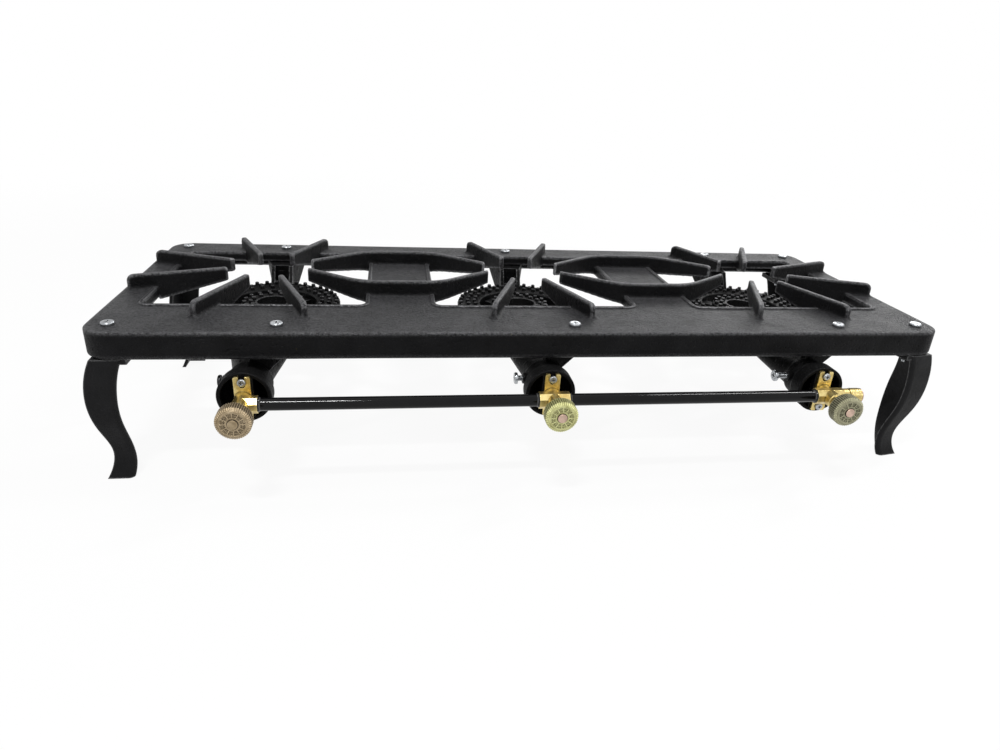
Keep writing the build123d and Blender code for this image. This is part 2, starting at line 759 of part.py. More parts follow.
# The gland nut, which screws into the barrel and presses the spindle seal
with BuildPart() as gland_nut:
    with BuildSketch(front_view(0, barrel_front_y, valve_height)):
        RegularPolygon(gland_across_flats / 2, hex_sides, major_radius=False)
    extrude(amount=gland_length)
    with BuildSketch(front_view(0, barrel_front_y, valve_height)):
        Circle(gland_across_flats / 2 / cos(pi / hex_sides) - gland_corner_cut)
    extrude(amount=gland_length, mode=Mode.INTERSECT)
    with BuildSketch(front_view(0, barrel_front_y, valve_height)):
        Circle(gland_thread_radius)
    extrude(amount=-gland_thread_length)
    with BuildSketch(front_view(0, barrel_front_y - gland_length, valve_height)):
        Circle(spindle_radius + running_clearance)
    extrude(amount=-gland_length - gland_thread_length, mode=Mode.SUBTRACT)

with BuildPart() as spindle_seal:
    with BuildSketch(front_view(0, barrel_front_y + gland_thread_length, valve_height)):
        Circle(gland_thread_radius)
        Circle(spindle_radius + running_clearance, mode=Mode.SUBTRACT)
    extrude(amount=-seal_length)

# The gas jet, screwed into the valve's spigot
with BuildPart() as jet:
    with BuildSketch(front_view(0, spigot_back_y, valve_height)):
        RegularPolygon(jet_across_flats / 2, hex_sides, major_radius=False)
    extrude(amount=-jet_head_length)
    with BuildSketch(front_view(0, spigot_back_y + jet_head_length, valve_height)):
        Circle(jet_nose_radius)
    extrude(amount=-jet_nose_length)
    with BuildSketch(front_view(0, spigot_back_y, valve_height)):
        Circle(jet_shank_radius)
    extrude(amount=jet_shank_length)
    with BuildSketch(front_view(0, spigot_back_y - jet_shank_length, valve_height)):
        Circle(seat_bore_radius)
    extrude(amount=-jet_shank_length - jet_head_length, mode=Mode.SUBTRACT)
    with BuildSketch(front_view(0, spigot_back_y + jet_head_length, valve_height)):
        Circle(jet_hole_radius)
    extrude(amount=-jet_nose_length, mode=Mode.SUBTRACT)

# The needle spindle: a cone that closes the seat, a threaded part and a plain stem
needle_slope = (spindle_radius - needle_tip_radius) / needle_length
seat_contact_radius = seat_bore_radius - running_clearance
needle_base_y = seat_y - (spindle_radius - seat_contact_radius) / needle_slope
thread_back_y = needle_base_y - spindle_neck_length
thread_front_y = thread_back_y - spindle_thread_length
stem_front_y = knob_face_y + rivet_shank_length + rivet_gap_to_spindle

with BuildPart() as needle_spindle:
    with BuildSketch(level(0, 0, valve_height)):
        with BuildLine():
            Polyline(
                (0, needle_base_y + needle_length),
                (needle_tip_radius, needle_base_y + needle_length),
                (spindle_radius, needle_base_y),
                (spindle_radius, thread_back_y),
                (spindle_thread_radius, thread_back_y),
                (spindle_thread_radius, thread_front_y),
                (spindle_radius, thread_front_y),
                (spindle_radius, stem_front_y),
                (0, stem_front_y),
                close=True,
            )
        make_face()
    revolve(axis=turning_axis)

# The knob: an open-backed cap on a hub, knurled round its rim
knob_bore_radius = spindle_radius + running_clearance
hub_back_y = knob_back_y + knob_hub_stand_off
knob_inside_y = knob_face_y + knob_face_thickness
knob_inner_radius = knob_radius - knob_wall
middle_band_radius = (knob_band_inner_radius + knob_band_outer_radius) / 2
tick_length = 2 * (knob_band_outer_radius - knob_band_inner_radius)

with BuildPart() as knob:
    with BuildSketch(level(0, 0, valve_height)):
        with BuildLine():
            Polyline(
                (knob_bore_radius, knob_face_y),
                (knob_radius - knob_bevel_width, knob_face_y),
                (knob_radius, knob_face_y + knob_bevel_depth),
                (knob_radius, knob_back_y),
                (knob_inner_radius, knob_back_y),
                (knob_inner_radius, knob_inside_y),
                (knob_hub_radius, knob_inside_y),
                (knob_hub_radius, hub_back_y),
                (knob_bore_radius, hub_back_y),
                close=True,
            )
        make_face()
    revolve(axis=turning_axis)
    with BuildSketch(front_view(0, knob_face_y, valve_height)):
        with PolarLocations(knob_radius, knob_notch_count, start_angle=180 / knob_notch_count):
            Rectangle(knob_notch_size, knob_notch_size, rotation=45)
    extrude(amount=-knob_depth, mode=Mode.SUBTRACT)
    with BuildSketch(front_view(0, knob_face_y, valve_height)):
        Circle(knob_band_outer_radius)
        Circle(knob_band_inner_radius, mode=Mode.SUBTRACT)
        with PolarLocations(middle_band_radius, knob_tick_count):
            Rectangle(tick_length, knob_tick_width, mode=Mode.SUBTRACT)
    extrude(amount=-knob_band_depth, mode=Mode.SUBTRACT)

with BuildPart() as knob_rivet:
    with BuildSketch(front_view(0, knob_face_y, valve_height)):
        Circle(rivet_head_radius)
    extrude(amount=rivet_head_height)
    fillet(knob_rivet.edges().group_by(Axis.Y)[0], rivet_head_height / 2)
    with BuildSketch(front_view(0, knob_face_y, valve_height)):
        Circle(spindle_radius)
    extrude(amount=-rivet_shank_length)

# Gas pipe between two valves
pipe_start_x = socket_half_length - socket_bore_depth + pipe_end_gap
with BuildPart() as gas_pipe:
    with BuildSketch(side_view(pipe_start_x, pipe_y, valve_height)):
        Circle(pipe_radius)
        Circle(pipe_radius - pipe_wall, mode=Mode.SUBTRACT)
    extrude(amount=burner_pitch - 2 * pipe_start_x)

# Inlet fitting on the right valve: shank, collar, groove and threaded end
collar_x = burner_pitch + socket_half_length
inlet_steps = (
    (collar_x - socket_bore_depth + pipe_end_gap, collar_x, pipe_radius),
    (collar_x, collar_x + inlet_collar_length, inlet_collar_radius),
    (collar_x, collar_x + inlet_collar_length + inlet_groove_length, inlet_groove_radius),
)
thread_x = collar_x + inlet_collar_length + inlet_groove_length
inlet_length = socket_bore_depth - pipe_end_gap + thread_x - collar_x + inlet_thread_length
with BuildPart() as gas_inlet_fitting:
    for step_start, step_end, step_radius in inlet_steps:
        with BuildSketch(side_view(step_start, pipe_y, valve_height)):
            Circle(step_radius)
        extrude(amount=step_end - step_start)
    with BuildSketch(side_view(thread_x, pipe_y, valve_height)):
        Circle(inlet_thread_radius)
    extrude(amount=inlet_thread_length)
    chamfer(gas_inlet_fitting.edges().group_by(Axis.X)[-1], inlet_tip_chamfer)
    with BuildSketch(side_view(inlet_steps[0][0], pipe_y, valve_height)):
        Circle(inlet_bore_radius)
    extrude(amount=inlet_length, mode=Mode.SUBTRACT)
save(gas_inlet_fitting.part, "gas_inlet_fitting")

valve_plate_screws = make_pan_screws(
    front_view(0, valve_front_y, valve_height),
    all_screw_spots,
    valve_screw_head_radius,
    valve_screw_head_height,
    valve_screw_radius,
    valve_screw_length,
)
save(valve_plate_screws, "valve_plate_screws")


def make_set_screw(stand_off):
    """A cup's set screw: its tip bears on the tube neck, and its head stands off the boss."""
    seat_x = boss_end_x - stand_off
    return make_pan_screws(
        left_view(seat_x, set_screw_y, set_screw_z),
        [(0, 0)],
        plate_screw_head_radius,
        plate_screw_head_height,
        plate_screw_radius,
        -seat_x - tube_neck_radius - cup_neck_clearance,
    )



# Every burner's own pieces, and the pipes from each burner to the next
socket_directions = {"left": (1,), "middle": (-1, 1), "right": (-1, 1)}
for place, burner_x in burner_places.items():
    here = Location((burner_x, 0, 0))
    save(burner.part.moved(here), f"burner_{place}")
    save(air_cup.part.moved(here), f"air_cup_{place}")
    save(make_set_screw(set_screw_stand_offs[place]).moved(here), f"set_screw_{place}")
    save(make_valve_body(socket_directions[place]).moved(here), f"valve_body_{place}")
    save(gland_nut.part.moved(here), f"gland_nut_{place}")
    save(spindle_seal.part.moved(here), f"spindle_seal_{place}")
    save(jet.part.moved(here), f"jet_{place}")
    save(needle_spindle.part.moved(here), f"needle_spindle_{place}")
    save(knob.part.moved(here), f"knob_{place}")
    save(knob_rivet.part.moved(here), f"knob_rivet_{place}")
save(gas_pipe.part.moved(Location((-burner_pitch, 0, 0))), "gas_pipe_left")
save(gas_pipe.part, "gas_pipe_right")


# Legs
def leg_points(curve, shift):
    """A leg's curve as points from the frame down to the floor."""
    return [(reach + shift, share * apron_bottom) for share, reach in curve]


leg_block = 100.0
pocket_top = apron_bottom - leg_top_plate_thickness
inner_reach = leg_inner_curve[0][1] - leg_top_plate_lip
with BuildPart() as leg_pocket:
    with BuildSketch(front_view(frame_length / 2, -frame_depth / 2, 0)):
        with BuildLine():
            outer_wall = Spline(*leg_points(leg_outer_curve, -leg_wall))
            Line(outer_wall @ 0, (-leg_block, apron_bottom))
            Line((-leg_block, apron_bottom), (-leg_block, 0))
            Line((-leg_block, 0), outer_wall @ 1)
        make_face()
    extrude(amount=-leg_block)
    with BuildSketch(side_view(frame_length / 2, -frame_depth / 2, 0)):
        with BuildLine():
            front_wall = Spline(*leg_points(leg_front_curve, leg_wall))
            Line(front_wall @ 0, (leg_block, apron_bottom))
            Line((leg_block, apron_bottom), (leg_block, 0))
            Line((leg_block, 0), front_wall @ 1)
        make_face()
    extrude(amount=2 * leg_block, both=True, mode=Mode.INTERSECT)

with BuildPart() as leg:
    with BuildSketch(front_view(frame_length / 2, -frame_depth / 2, 0)):
        with BuildLine():
            outer_side = Spline(*leg_points(leg_outer_curve, 0))
            inner_side = Spline(*leg_points(leg_inner_curve, 0))
            Line(outer_side @ 0, inner_side @ 0)
            Line(outer_side @ 1, inner_side @ 1)
        make_face()
    extrude(amount=-leg_block)
    with BuildSketch(side_view(frame_length / 2, -frame_depth / 2, 0)):
        with BuildLine():
            front_side = Spline(*leg_points(leg_front_curve, 0))
            back_side = Spline(*leg_points(leg_back_curve, 0))
            Line(front_side @ 0, back_side @ 0)
            Line(front_side @ 1, back_side @ 1)
        make_face()
    extrude(amount=leg_block, both=True, mode=Mode.INTERSECT)
    corner_edge = leg.edges().filter_by(lambda e: e.bounding_box().size.Z > apron_bottom / 2)
    fillet(corner_edge.sort_by(lambda e: e.center().X - e.center().Y)[-1], leg_corner_rounding)
    add(leg_pocket.part, mode=Mode.SUBTRACT)
    with BuildSketch(level(frame_length / 2, -frame_depth / 2, pocket_top)):
        with BuildLine():
            Polyline(
                (leg_outer_curve[0][1] - leg_wall / 2, leg_front_curve[0][1] + leg_wall / 2),
                (inner_reach, leg_front_curve[0][1] + leg_wall / 2),
                (inner_reach, leg_back_curve[0][1]),
                (leg_outer_curve[0][1] - leg_wall / 2, leg_back_curve[0][1]),
                close=True,
            )
        make_face()
    extrude(amount=leg_top_plate_thickness)
    with BuildSketch(level(leg_screw_x, -leg_screw_y, pocket_top)):
        Circle(screw_boss_radius)
    extrude(amount=plate_bottom - pocket_top)
    with BuildSketch(level(leg_screw_x, -leg_screw_y, plate_bottom)):
        Circle(plate_hole_radius)
    extrude(amount=pocket_top - plate_bottom, mode=Mode.SUBTRACT)

with BuildPart() as leg_front_left:
    mirror(leg.part, about=Plane.YZ)
with BuildPart() as leg_back_right:
    mirror(leg.part, about=front_view(0, 0, 0))
with BuildPart() as leg_back_left:
    mirror(leg_front_left.part, about=front_view(0, 0, 0))
twist_axis = Axis(level(leg_screw_x, -leg_screw_y, 0).origin, (0, 0, 1))
save(leg.part.rotate(twist_axis, front_right_leg_twist), "leg_front_right")
save(leg_front_left.part, "leg_front_left")
save(leg_back_right.part, "leg_back_right")
save(leg_back_left.part, "leg_back_left")


# Screws, spring washers and nuts under the plate
def make_spring_washers(top_z, places):
    with BuildPart() as washers:
        with BuildSketch(level(0, 0, top_z)):
            with Locations(*places):
                Circle(spring_washer_radius)
                Circle(plate_hole_radius, mode=Mode.SUBTRACT)
            ring_middle = (spring_washer_radius + plate_hole_radius) / 2
            with Locations(*[(x + ring_middle, y) for x, y in places]):
                Rectangle(spring_washer_radius, spring_washer_split, mode=Mode.SUBTRACT)
        extrude(amount=-spring_washer_thickness)
    return washers.part


def make_nuts(top_z, places):
    with BuildPart() as nuts:
        with BuildSketch(level(0, 0, top_z)):
            with Locations(*places):
                RegularPolygon(plate_nut_across_flats / 2, hex_sides, major_radius=False)
                Circle(tapped_radius, mode=Mode.SUBTRACT)
        extrude(amount=-plate_nut_height)
    return nuts.part


def plate_screw_length(seat_z):
    """A screw that reaches past a washer and a nut under a seat."""
    stack = spring_washer_thickness + plate_nut_height + plate_screw_spare_length
    return plate_top - seat_z + stack


def make_plate_screws(places, shank_length):
    return make_pan_screws(
        level(0, 0, plate_top),
        places,
        plate_screw_head_radius,
        plate_screw_head_height,
        plate_screw_radius,
        shank_length,
    )


burner_screw_places = front_screw_places + back_screw_places
save(make_plate_screws(leg_screw_places, plate_screw_length(pocket_top)), "leg_screws")
save(make_plate_screws(burner_screw_places, plate_screw_length(foot_bottom)), "burner_screws")
save(make_spring_washers(pocket_top, leg_screw_places), "leg_spring_washers")
save(make_spring_washers(foot_bottom, back_screw_places), "burner_spring_washers")
save(make_nuts(pocket_top - spring_washer_thickness, leg_screw_places), "leg_nuts")
save(make_nuts(foot_bottom - spring_washer_thickness, back_screw_places), "burner_nuts")
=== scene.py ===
import json
import math
import random

import bmesh
import bpy
import mathutils
from mathutils import Matrix, Vector


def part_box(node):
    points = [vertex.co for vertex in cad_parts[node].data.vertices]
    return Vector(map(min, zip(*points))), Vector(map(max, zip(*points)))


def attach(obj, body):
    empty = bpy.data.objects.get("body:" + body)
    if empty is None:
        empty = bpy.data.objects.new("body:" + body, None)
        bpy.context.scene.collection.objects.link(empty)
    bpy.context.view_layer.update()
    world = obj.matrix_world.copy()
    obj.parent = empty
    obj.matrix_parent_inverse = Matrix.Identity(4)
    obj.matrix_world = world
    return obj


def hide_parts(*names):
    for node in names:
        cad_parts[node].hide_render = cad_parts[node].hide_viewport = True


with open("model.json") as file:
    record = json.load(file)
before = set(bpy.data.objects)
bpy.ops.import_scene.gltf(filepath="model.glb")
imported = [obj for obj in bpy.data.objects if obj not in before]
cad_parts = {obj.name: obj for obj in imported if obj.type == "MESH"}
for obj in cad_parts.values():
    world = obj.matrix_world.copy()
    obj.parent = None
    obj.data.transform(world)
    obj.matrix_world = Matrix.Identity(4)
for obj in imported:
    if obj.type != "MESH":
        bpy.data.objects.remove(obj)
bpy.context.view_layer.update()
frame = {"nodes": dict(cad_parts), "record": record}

# Metres. The frame is the CAD's: X runs along the stove, the knobs face -Y and Z is up.

# Camera, at the place and angle that the photograph was taken from
IMAGE_WIDTH = 1000
FOCAL_LENGTH_PIXELS = 692.8
SENSOR_WIDTH_MM = 36.0
CAMERA_PLACE = Vector((-0.16487, -0.79978, 0.42729))
CAMERA_YAW = 0.1682
CAMERA_PITCH = 0.4241
CAMERA_ROLL = 0.0604

# Studio: each lamp has its place, the direction of its long side, its two sides and its watts
WORLD_LIGHT = 0.36
FLOOR_SIZE = 30.0
FLOOR_GAP = 0.0004
FLOOR_GLOW_NEAR = 0.93
FLOOR_FADE_START = 0.9
FLOOR_FADE_END = 2.2
LAMP_TARGET = Vector((0.0, 0.0, 0.14))
LAMPS = {
    "front_strip": (Vector((-0.5, -1.05, 1.95)), Vector((1.0, 0.0, 0.0)), (0.37, 0.07), 25.0),
    "right_strip": (Vector((1.3, 0.2, 2.1)), Vector((0.9, 0.44, 0.0)), (0.95, 0.1), 20.0),
    "back_softbox": (Vector((1.5, 2.2, 1.3)), Vector((1.0, 0.0, 0.0)), (2.0, 0.8), 26.0),
    "front_softbox": (Vector((2.0, -1.5, 1.1)), Vector((1.0, 0.0, 0.0)), (1.0, 0.6), 6.0),
}

# Where the frame puts what the small pieces sit on
PLACES = ("left", "middle", "right")
KNOB_LOW, KNOB_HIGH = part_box("knob_middle")
PIPE_LOW, PIPE_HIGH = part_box("gas_pipe_left")
VALVE_LOW, VALVE_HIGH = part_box("valve_body_middle")
SET_SCREW_LOW, SET_SCREW_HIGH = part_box("set_screw_middle")
BURNER_X = {place: sum(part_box("knob_" + place), Vector()).x / 2 for place in PLACES}
VALVE_Z = (KNOB_LOW.z + KNOB_HIGH.z) / 2

# Gas pipe and the sockets that it goes into
PIPE_Y = (PIPE_LOW.y + PIPE_HIGH.y) / 2
PIPE_RADIUS = (PIPE_HIGH.y - PIPE_LOW.y) / 2
SOCKET_HALF_LENGTH = (VALVE_HIGH.x - VALVE_LOW.x) / 2
PIPE_ENDS = (
    ("left", "left", 1),
    ("middle_left", "middle", -1),
    ("middle_right", "middle", 1),
    ("right", "right", -1),
)

# Knobs
KNOB_FACE_Y = KNOB_LOW.y
KNOB_RADIUS = (KNOB_HIGH.x - KNOB_LOW.x) / 2
KNOB_BEVEL_WIDTH = 0.0036
KNOB_BEVEL_DEPTH = 0.0026
KNOB_NOTCH_COUNT = 48
KNOB_BAND_DEPTH = 0.0006
KNOB_BAND_INNER_RADIUS = 0.0066
KNOB_BAND_OUTER_RADIUS = 0.0118
KNOB_RING_HEIGHT = 0.00045
KNOB_FIELD_COUNT = 12
KNOB_STROKES_PER_FIELD = 3
STROKE_HALF_WIDTH = 0.00038
STROKE_HEIGHT = 0.0005
RIDGE_HEIGHT = 0.0003
RIDGE_FOOT_HALF_WIDTH = 0.00062
RIDGE_TOP_HALF_WIDTH = 0.00028
RIVET_HEAD_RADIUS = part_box("knob_rivet_middle")[1].x - BURNER_X["middle"]
KNOB_FINISH = {"left": "knob_tan", "middle": "knob_yellow", "right": "knob_grey_green"}

# Set screws: each stands off its boss by a length of its own
SET_SCREW_Y = (SET_SCREW_LOW.y + SET_SCREW_HIGH.y) / 2
SET_SCREW_Z = (SET_SCREW_LOW.z + SET_SCREW_HIGH.z) / 2
SET_SCREW_BOSS_X = -0.0253
SET_SCREW_HEAD_LENGTH = 0.0032
SET_SCREW_ROOT_RADIUS = 0.0029
SET_SCREW_CREST_RADIUS = 0.00325
SET_SCREW_PITCH = 0.001
SET_SCREW_THREAD_START = 0.0006
SET_SCREW_THREAD_OVERLAP = 0.0004
SET_SCREW_FINISH = {"left": "black_screw", "middle": "zinc_screw", "right": "zinc_screw"}

# Gas inlet
INLET_TIP_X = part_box("gas_inlet_fitting")[1].x
INLET_THREAD_LENGTH = 0.015
INLET_THREAD_START = INLET_TIP_X - INLET_THREAD_LENGTH
INLET_THREAD_BARE_END = 0.0012
INLET_THREAD_RADIUS = 0.00794
INLET_THREAD_HEIGHT = 0.0004
INLET_THREAD_PITCH = 0.0018
INLET_BORE_RADIUS = 0.004

# Openings of the frame casting and the bead round each
OPENING_MIDDLE_Y = 0.0522
OPENING_HALF_LENGTH = 0.116
OPENING_HALF_DEPTH = 0.1075
OPENING_CORNER_RADIUS = 0.008
OPENING_LIP_TOP = 0.1737
BEAD_OUTSET = 0.0027
BEAD_HALF_WIDTH = 0.0024
BEAD_HEIGHT = 0.0012

# The skin of the frame casting
SAND_SKIN_STEP = 0.0012
SAND_SKIN_BLUNTING = 3
SAND_SKIN_FACES = 190000
SAND_SKIN_WAVES_PER_METRE = 26.0
SAND_SKIN_WAVE_DEPTH = 0.0004


# Camera and studio
def make_camera():
    forward = Vector(
        (
            math.sin(CAMERA_YAW) * math.cos(CAMERA_PITCH),
            math.cos(CAMERA_YAW) * math.cos(CAMERA_PITCH),
            -math.sin(CAMERA_PITCH),
        )
    )
    level_right = Vector((math.cos(CAMERA_YAW), -math.sin(CAMERA_YAW), 0.0))
    level_up = level_right.cross(forward)
    right = math.cos(CAMERA_ROLL) * level_right + math.sin(CAMERA_ROLL) * level_up
    up = math.cos(CAMERA_ROLL) * level_up - math.sin(CAMERA_ROLL) * level_right
    axes = Matrix((right, up, -forward)).transposed()
    lens = bpy.data.cameras.new("photo_camera")
    lens.sensor_width = SENSOR_WIDTH_MM
    lens.lens = FOCAL_LENGTH_PIXELS * SENSOR_WIDTH_MM / IMAGE_WIDTH
    lens.clip_start = 0.01
    lens.clip_end = 100.0
    camera = bpy.data.objects.new("photo_camera", lens)
    camera.matrix_world = Matrix.Translation(CAMERA_PLACE) @ axes.to_4x4()
    bpy.context.collection.objects.link(camera)
    bpy.context.scene.camera = camera


def make_lamp(name, place, long_side, size, watts):
    light = bpy.data.lights.new(name, "AREA")
    light.shape = "RECTANGLE"
    light.size, light.size_y = size
    light.energy = watts
    backward = (place - LAMP_TARGET).normalized()
    along = (long_side - long_side.dot(backward) * backward).normalized()
    axes = Matrix((along, backward.cross(along), backward)).transposed()
    lamp = bpy.data.objects.new(name, light)
    lamp.matrix_world = Matrix.Translation(place) @ axes.to_4x4()
    bpy.context.collection.objects.link(lamp)


def seen_directly_or_mirrored(tree):
    """1 for a ray from the camera, a mirror or glass, and 0 for light on its way to a surface."""
    path = tree.nodes.new("ShaderNodeLightPath")
    camera_or_gloss = tree.nodes.new("ShaderNodeMath")
    camera_or_gloss.operation = "MAXIMUM"
    tree.links.new(path.outputs["Is Camera Ray"], camera_or_gloss.inputs[0])
    tree.links.new(path.outputs["Is Glossy Ray"], camera_or_gloss.inputs[1])
    or_glass = tree.nodes.new("ShaderNodeMath")
    or_glass.operation = "MAXIMUM"
    tree.links.new(camera_or_gloss.outputs[0], or_glass.inputs[0])
    tree.links.new(path.outputs["Is Transmission Ray"], or_glass.inputs[1])
    return or_glass.outputs[0]


def make_world():
    world = bpy.data.worlds.new("white_studio")
    bpy.context.scene.world = world
    world.use_nodes = True
    tree = world.node_tree
    tree.nodes.clear()
    room_light = tree.nodes.new("ShaderNodeBackground")
    room_light.inputs["Color"].default_value = (1.0, 1.0, 1.0, 1.0)
    room_light.inputs["Strength"].default_value = WORLD_LIGHT
    backdrop = tree.nodes.new("ShaderNodeBackground")
    backdrop.inputs["Color"].default_value = (1.0, 1.0, 1.0, 1.0)
    backdrop.inputs["Strength"].default_value = 1.0
    mix = tree.nodes.new("ShaderNodeMixShader")
    out = tree.nodes.new("ShaderNodeOutputWorld")
    tree.links.new(seen_directly_or_mirrored(tree), mix.inputs["Fac"])
    tree.links.new(room_light.outputs[0], mix.inputs[1])
    tree.links.new(backdrop.outputs[0], mix.inputs[2])
    tree.links.new(mix.outputs[0], out.inputs["Surface"])


def make_floor():
    half = FLOOR_SIZE / 2
    sheet = bpy.data.meshes.new("studio_floor")
    corners = [(-half, -half), (half, -half), (half, half), (-half, half)]
    sheet.from_pydata([(x, y, -FLOOR_GAP) for x, y in corners], [], [(0, 1, 2, 3)])
    floor = bpy.data.objects.new("studio_floor", sheet)
    bpy.context.collection.objects.link(floor)
    material = bpy.data.materials.new("white_floor")
    material.use_nodes = True
    tree = material.node_tree
    tree.nodes.clear()
    paper = tree.nodes.new("ShaderNodeBsdfDiffuse")
    paper.inputs["Color"].default_value = (0.9, 0.9, 0.9, 1.0)
    glow = tree.nodes.new("ShaderNodeEmission")
    glow.inputs["Strength"].default_value = 1.0
    place = tree.nodes.new("ShaderNodeNewGeometry").outputs["Position"]
    reach = tree.nodes.new("ShaderNodeVectorMath")
    reach.operation = "LENGTH"
    tree.links.new(place, reach.inputs[0])
    fade = spread(tree, reach.outputs["Value"], FLOOR_FADE_START, FLOOR_FADE_END, FLOOR_GLOW_NEAR, 1.0)
    share = maths(tree, "MULTIPLY", seen_directly_or_mirrored(tree), fade)
    mix = tree.nodes.new("ShaderNodeMixShader")
    out = tree.nodes.new("ShaderNodeOutputMaterial")
    tree.links.new(share, mix.inputs["Fac"])
    tree.links.new(paper.outputs[0], mix.inputs[1])
    tree.links.new(glow.outputs[0], mix.inputs[2])
    tree.links.new(mix.outputs[0], out.inputs["Surface"])
    sheet.materials.append(material)


# Effects that several finishes share
def new_effect(name, inputs, outputs):
    group = bpy.data.node_groups.new(name, "ShaderNodeTree")
    for label, kind, value in inputs:
        socket = group.interface.new_socket(label, in_out="INPUT", socket_type=kind)
        socket.default_value = value
    for label, kind in outputs:
        group.interface.new_socket(label, in_out="OUTPUT", socket_type=kind)
    return group, group.nodes.new("NodeGroupInput"), group.nodes.new("NodeGroupOutput")


def maths(tree, operation, first, second=None, third=None, clamp=False):
    node = tree.nodes.new("ShaderNodeMath")
    node.operation = operation
    node.use_clamp = clamp
    for socket, value in zip(node.inputs, (first, second, third)):
        if value is None:
            continue
        if isinstance(value, (int, float)):
            socket.default_value = value
        else:
            tree.links.new(value, socket)
    return node.outputs[0]


def spread(tree, value, low, high, new_low=0.0, new_high=1.0):
    node = tree.nodes.new("ShaderNodeMapRange")
    node.interpolation_type = "SMOOTHSTEP"
    node.inputs["From Min"].default_value = low
    node.inputs["From Max"].default_value = high
    node.inputs["To Min"].default_value = new_low
    node.inputs["To Max"].default_value = new_high
    tree.links.new(value, node.inputs["Value"])
    return node.outputs["Result"]


def noise(tree, scale, detail=2.0, roughness=0.5, place=None):
    node = tree.nodes.new("ShaderNodeTexNoise")
    node.inputs["Detail"].default_value = detail
    node.inputs["Roughness"].default_value = roughness
    if isinstance(scale, (int, float)):
        node.inputs["Scale"].default_value = scale
    else:
        tree.links.new(scale, node.inputs["Scale"])
    if place is None:
        place = tree.nodes.new("ShaderNodeTexCoord").outputs["Object"]
    tree.links.new(place, node.inputs["Vector"])
    return node.outputs["Fac"]


def make_sand_cast_grain():
    """The skin that a sand mould leaves: fine grains, small pits and slow waves, as a height."""
    group, given, result = new_effect(
        "sand_cast_grain",
        [
            ("Grains per Metre", "NodeSocketFloat", 900.0),
            ("Pits per Metre", "NodeSocketFloat", 260.0),
            ("Waves per Metre", "NodeSocketFloat", 45.0),
            ("Pit Share", "NodeSocketFloat", 0.5),
        ],
        [("Height", "NodeSocketFloat"), ("Mottle", "NodeSocketFloat")],
    )
    grain = noise(group, given.outputs["Grains per Metre"], 3.0, 0.62)
    pit_noise = noise(group, given.outputs["Pits per Metre"], 2.0, 0.55)
    pits = spread(group, pit_noise, 0.3, 0.46, -1.0, 0.0)
    weighed_pits = maths(group, "MULTIPLY", pits, given.outputs["Pit Share"])
    waves = noise(group, given.outputs["Waves per Metre"], 2.0, 0.5)
    with_pits = maths(group, "ADD", grain, weighed_pits)
    height = maths(group, "MULTIPLY_ADD", waves, 1.2, with_pits)
    group.links.new(height, result.inputs["Height"])
    mottle = maths(group, "MULTIPLY_ADD", grain, 0.45, maths(group, "MULTIPLY", waves, 0.55))
    group.links.new(spread(group, mottle, 0.32, 0.68), result.inputs["Mottle"])
    return group


def make_edge_wear_and_highlight():
    """A mask that is 1 along outside edges and breaks up with a noise: where hands and pots rub, and
    where the cast-iron finishes paint a highlight along their edges.
    """
    group, given, result = new_effect(
        "edge_wear_and_highlight",
        [
            ("Edge Width", "NodeSocketFloat", 0.0015),
            ("Breaks per Metre", "NodeSocketFloat", 150.0),
        ],
        [
            ("Wear and Highlight", "NodeSocketFloat"),
            ("Edge", "NodeSocketFloat"),
            ("Rounded Normal", "NodeSocketVector"),
        ],
    )
    bevel = group.nodes.new("ShaderNodeBevel")
    bevel.samples = 4
    group.links.new(given.outputs["Edge Width"], bevel.inputs["Radius"])
    # An inside-occlusion mask along outside edges; the cast-iron finishes use it for rubbed wear and a
    # painted highlight.
    depth = group.nodes.new("ShaderNodeAmbientOcclusion")
    depth.samples = 6
    depth.inside = True
    depth.only_local = True
    reach = maths(group, "MULTIPLY", given.outputs["Edge Width"], 2.0)
    group.links.new(reach, depth.inputs["Distance"])
    edge = spread(group, depth.outputs["AO"], 0.55, 0.96, 1.0, 0.0)
    patches = noise(group, given.outputs["Breaks per Metre"], 4.0, 0.6)
    wear_and_highlight = maths(group, "MULTIPLY", edge, spread(group, patches, 0.34, 0.58, 0.3, 1.0))
    group.links.new(bevel.outputs["Normal"], result.inputs["Rounded Normal"])
    group.links.new(edge, result.inputs["Edge"])
    group.links.new(wear_and_highlight, result.inputs["Wear and Highlight"])
    return group


def make_settled_dust():
    """Pale dust that lies on surfaces that face up, thinner where hands wipe it off."""
    group, given, result = new_effect(
        "settled_dust",
        [
            ("Steepness", "NodeSocketFloat", 0.55),
            ("Patches per Metre", "NodeSocketFloat", 18.0),
        ],
        [("Dust", "NodeSocketFloat")],
    )
    surface = group.nodes.new("ShaderNodeNewGeometry")
    parts = group.nodes.new("ShaderNodeSeparateXYZ")
    group.links.new(surface.outputs["Normal"], parts.inputs[0])
    above = maths(group, "SUBTRACT", parts.outputs["Z"], given.outputs["Steepness"])
    span = maths(group, "SUBTRACT", 1.0, given.outputs["Steepness"])
    facing_up = maths(group, "DIVIDE", above, span, clamp=True)
    patch_noise = noise(group, given.outputs["Patches per Metre"], 5.0, 0.6)
    patches = spread(group, patch_noise, 0.3, 0.7, 0.7, 1.0)
    speckles = spread(group, noise(group, 460.0, 3.0, 0.7), 0.36, 0.62, 0.25, 1.0)
    dust = maths(group, "MULTIPLY", facing_up, maths(group, "MULTIPLY", patches, speckles))
    group.links.new(dust, result.inputs["Dust"])
    return group


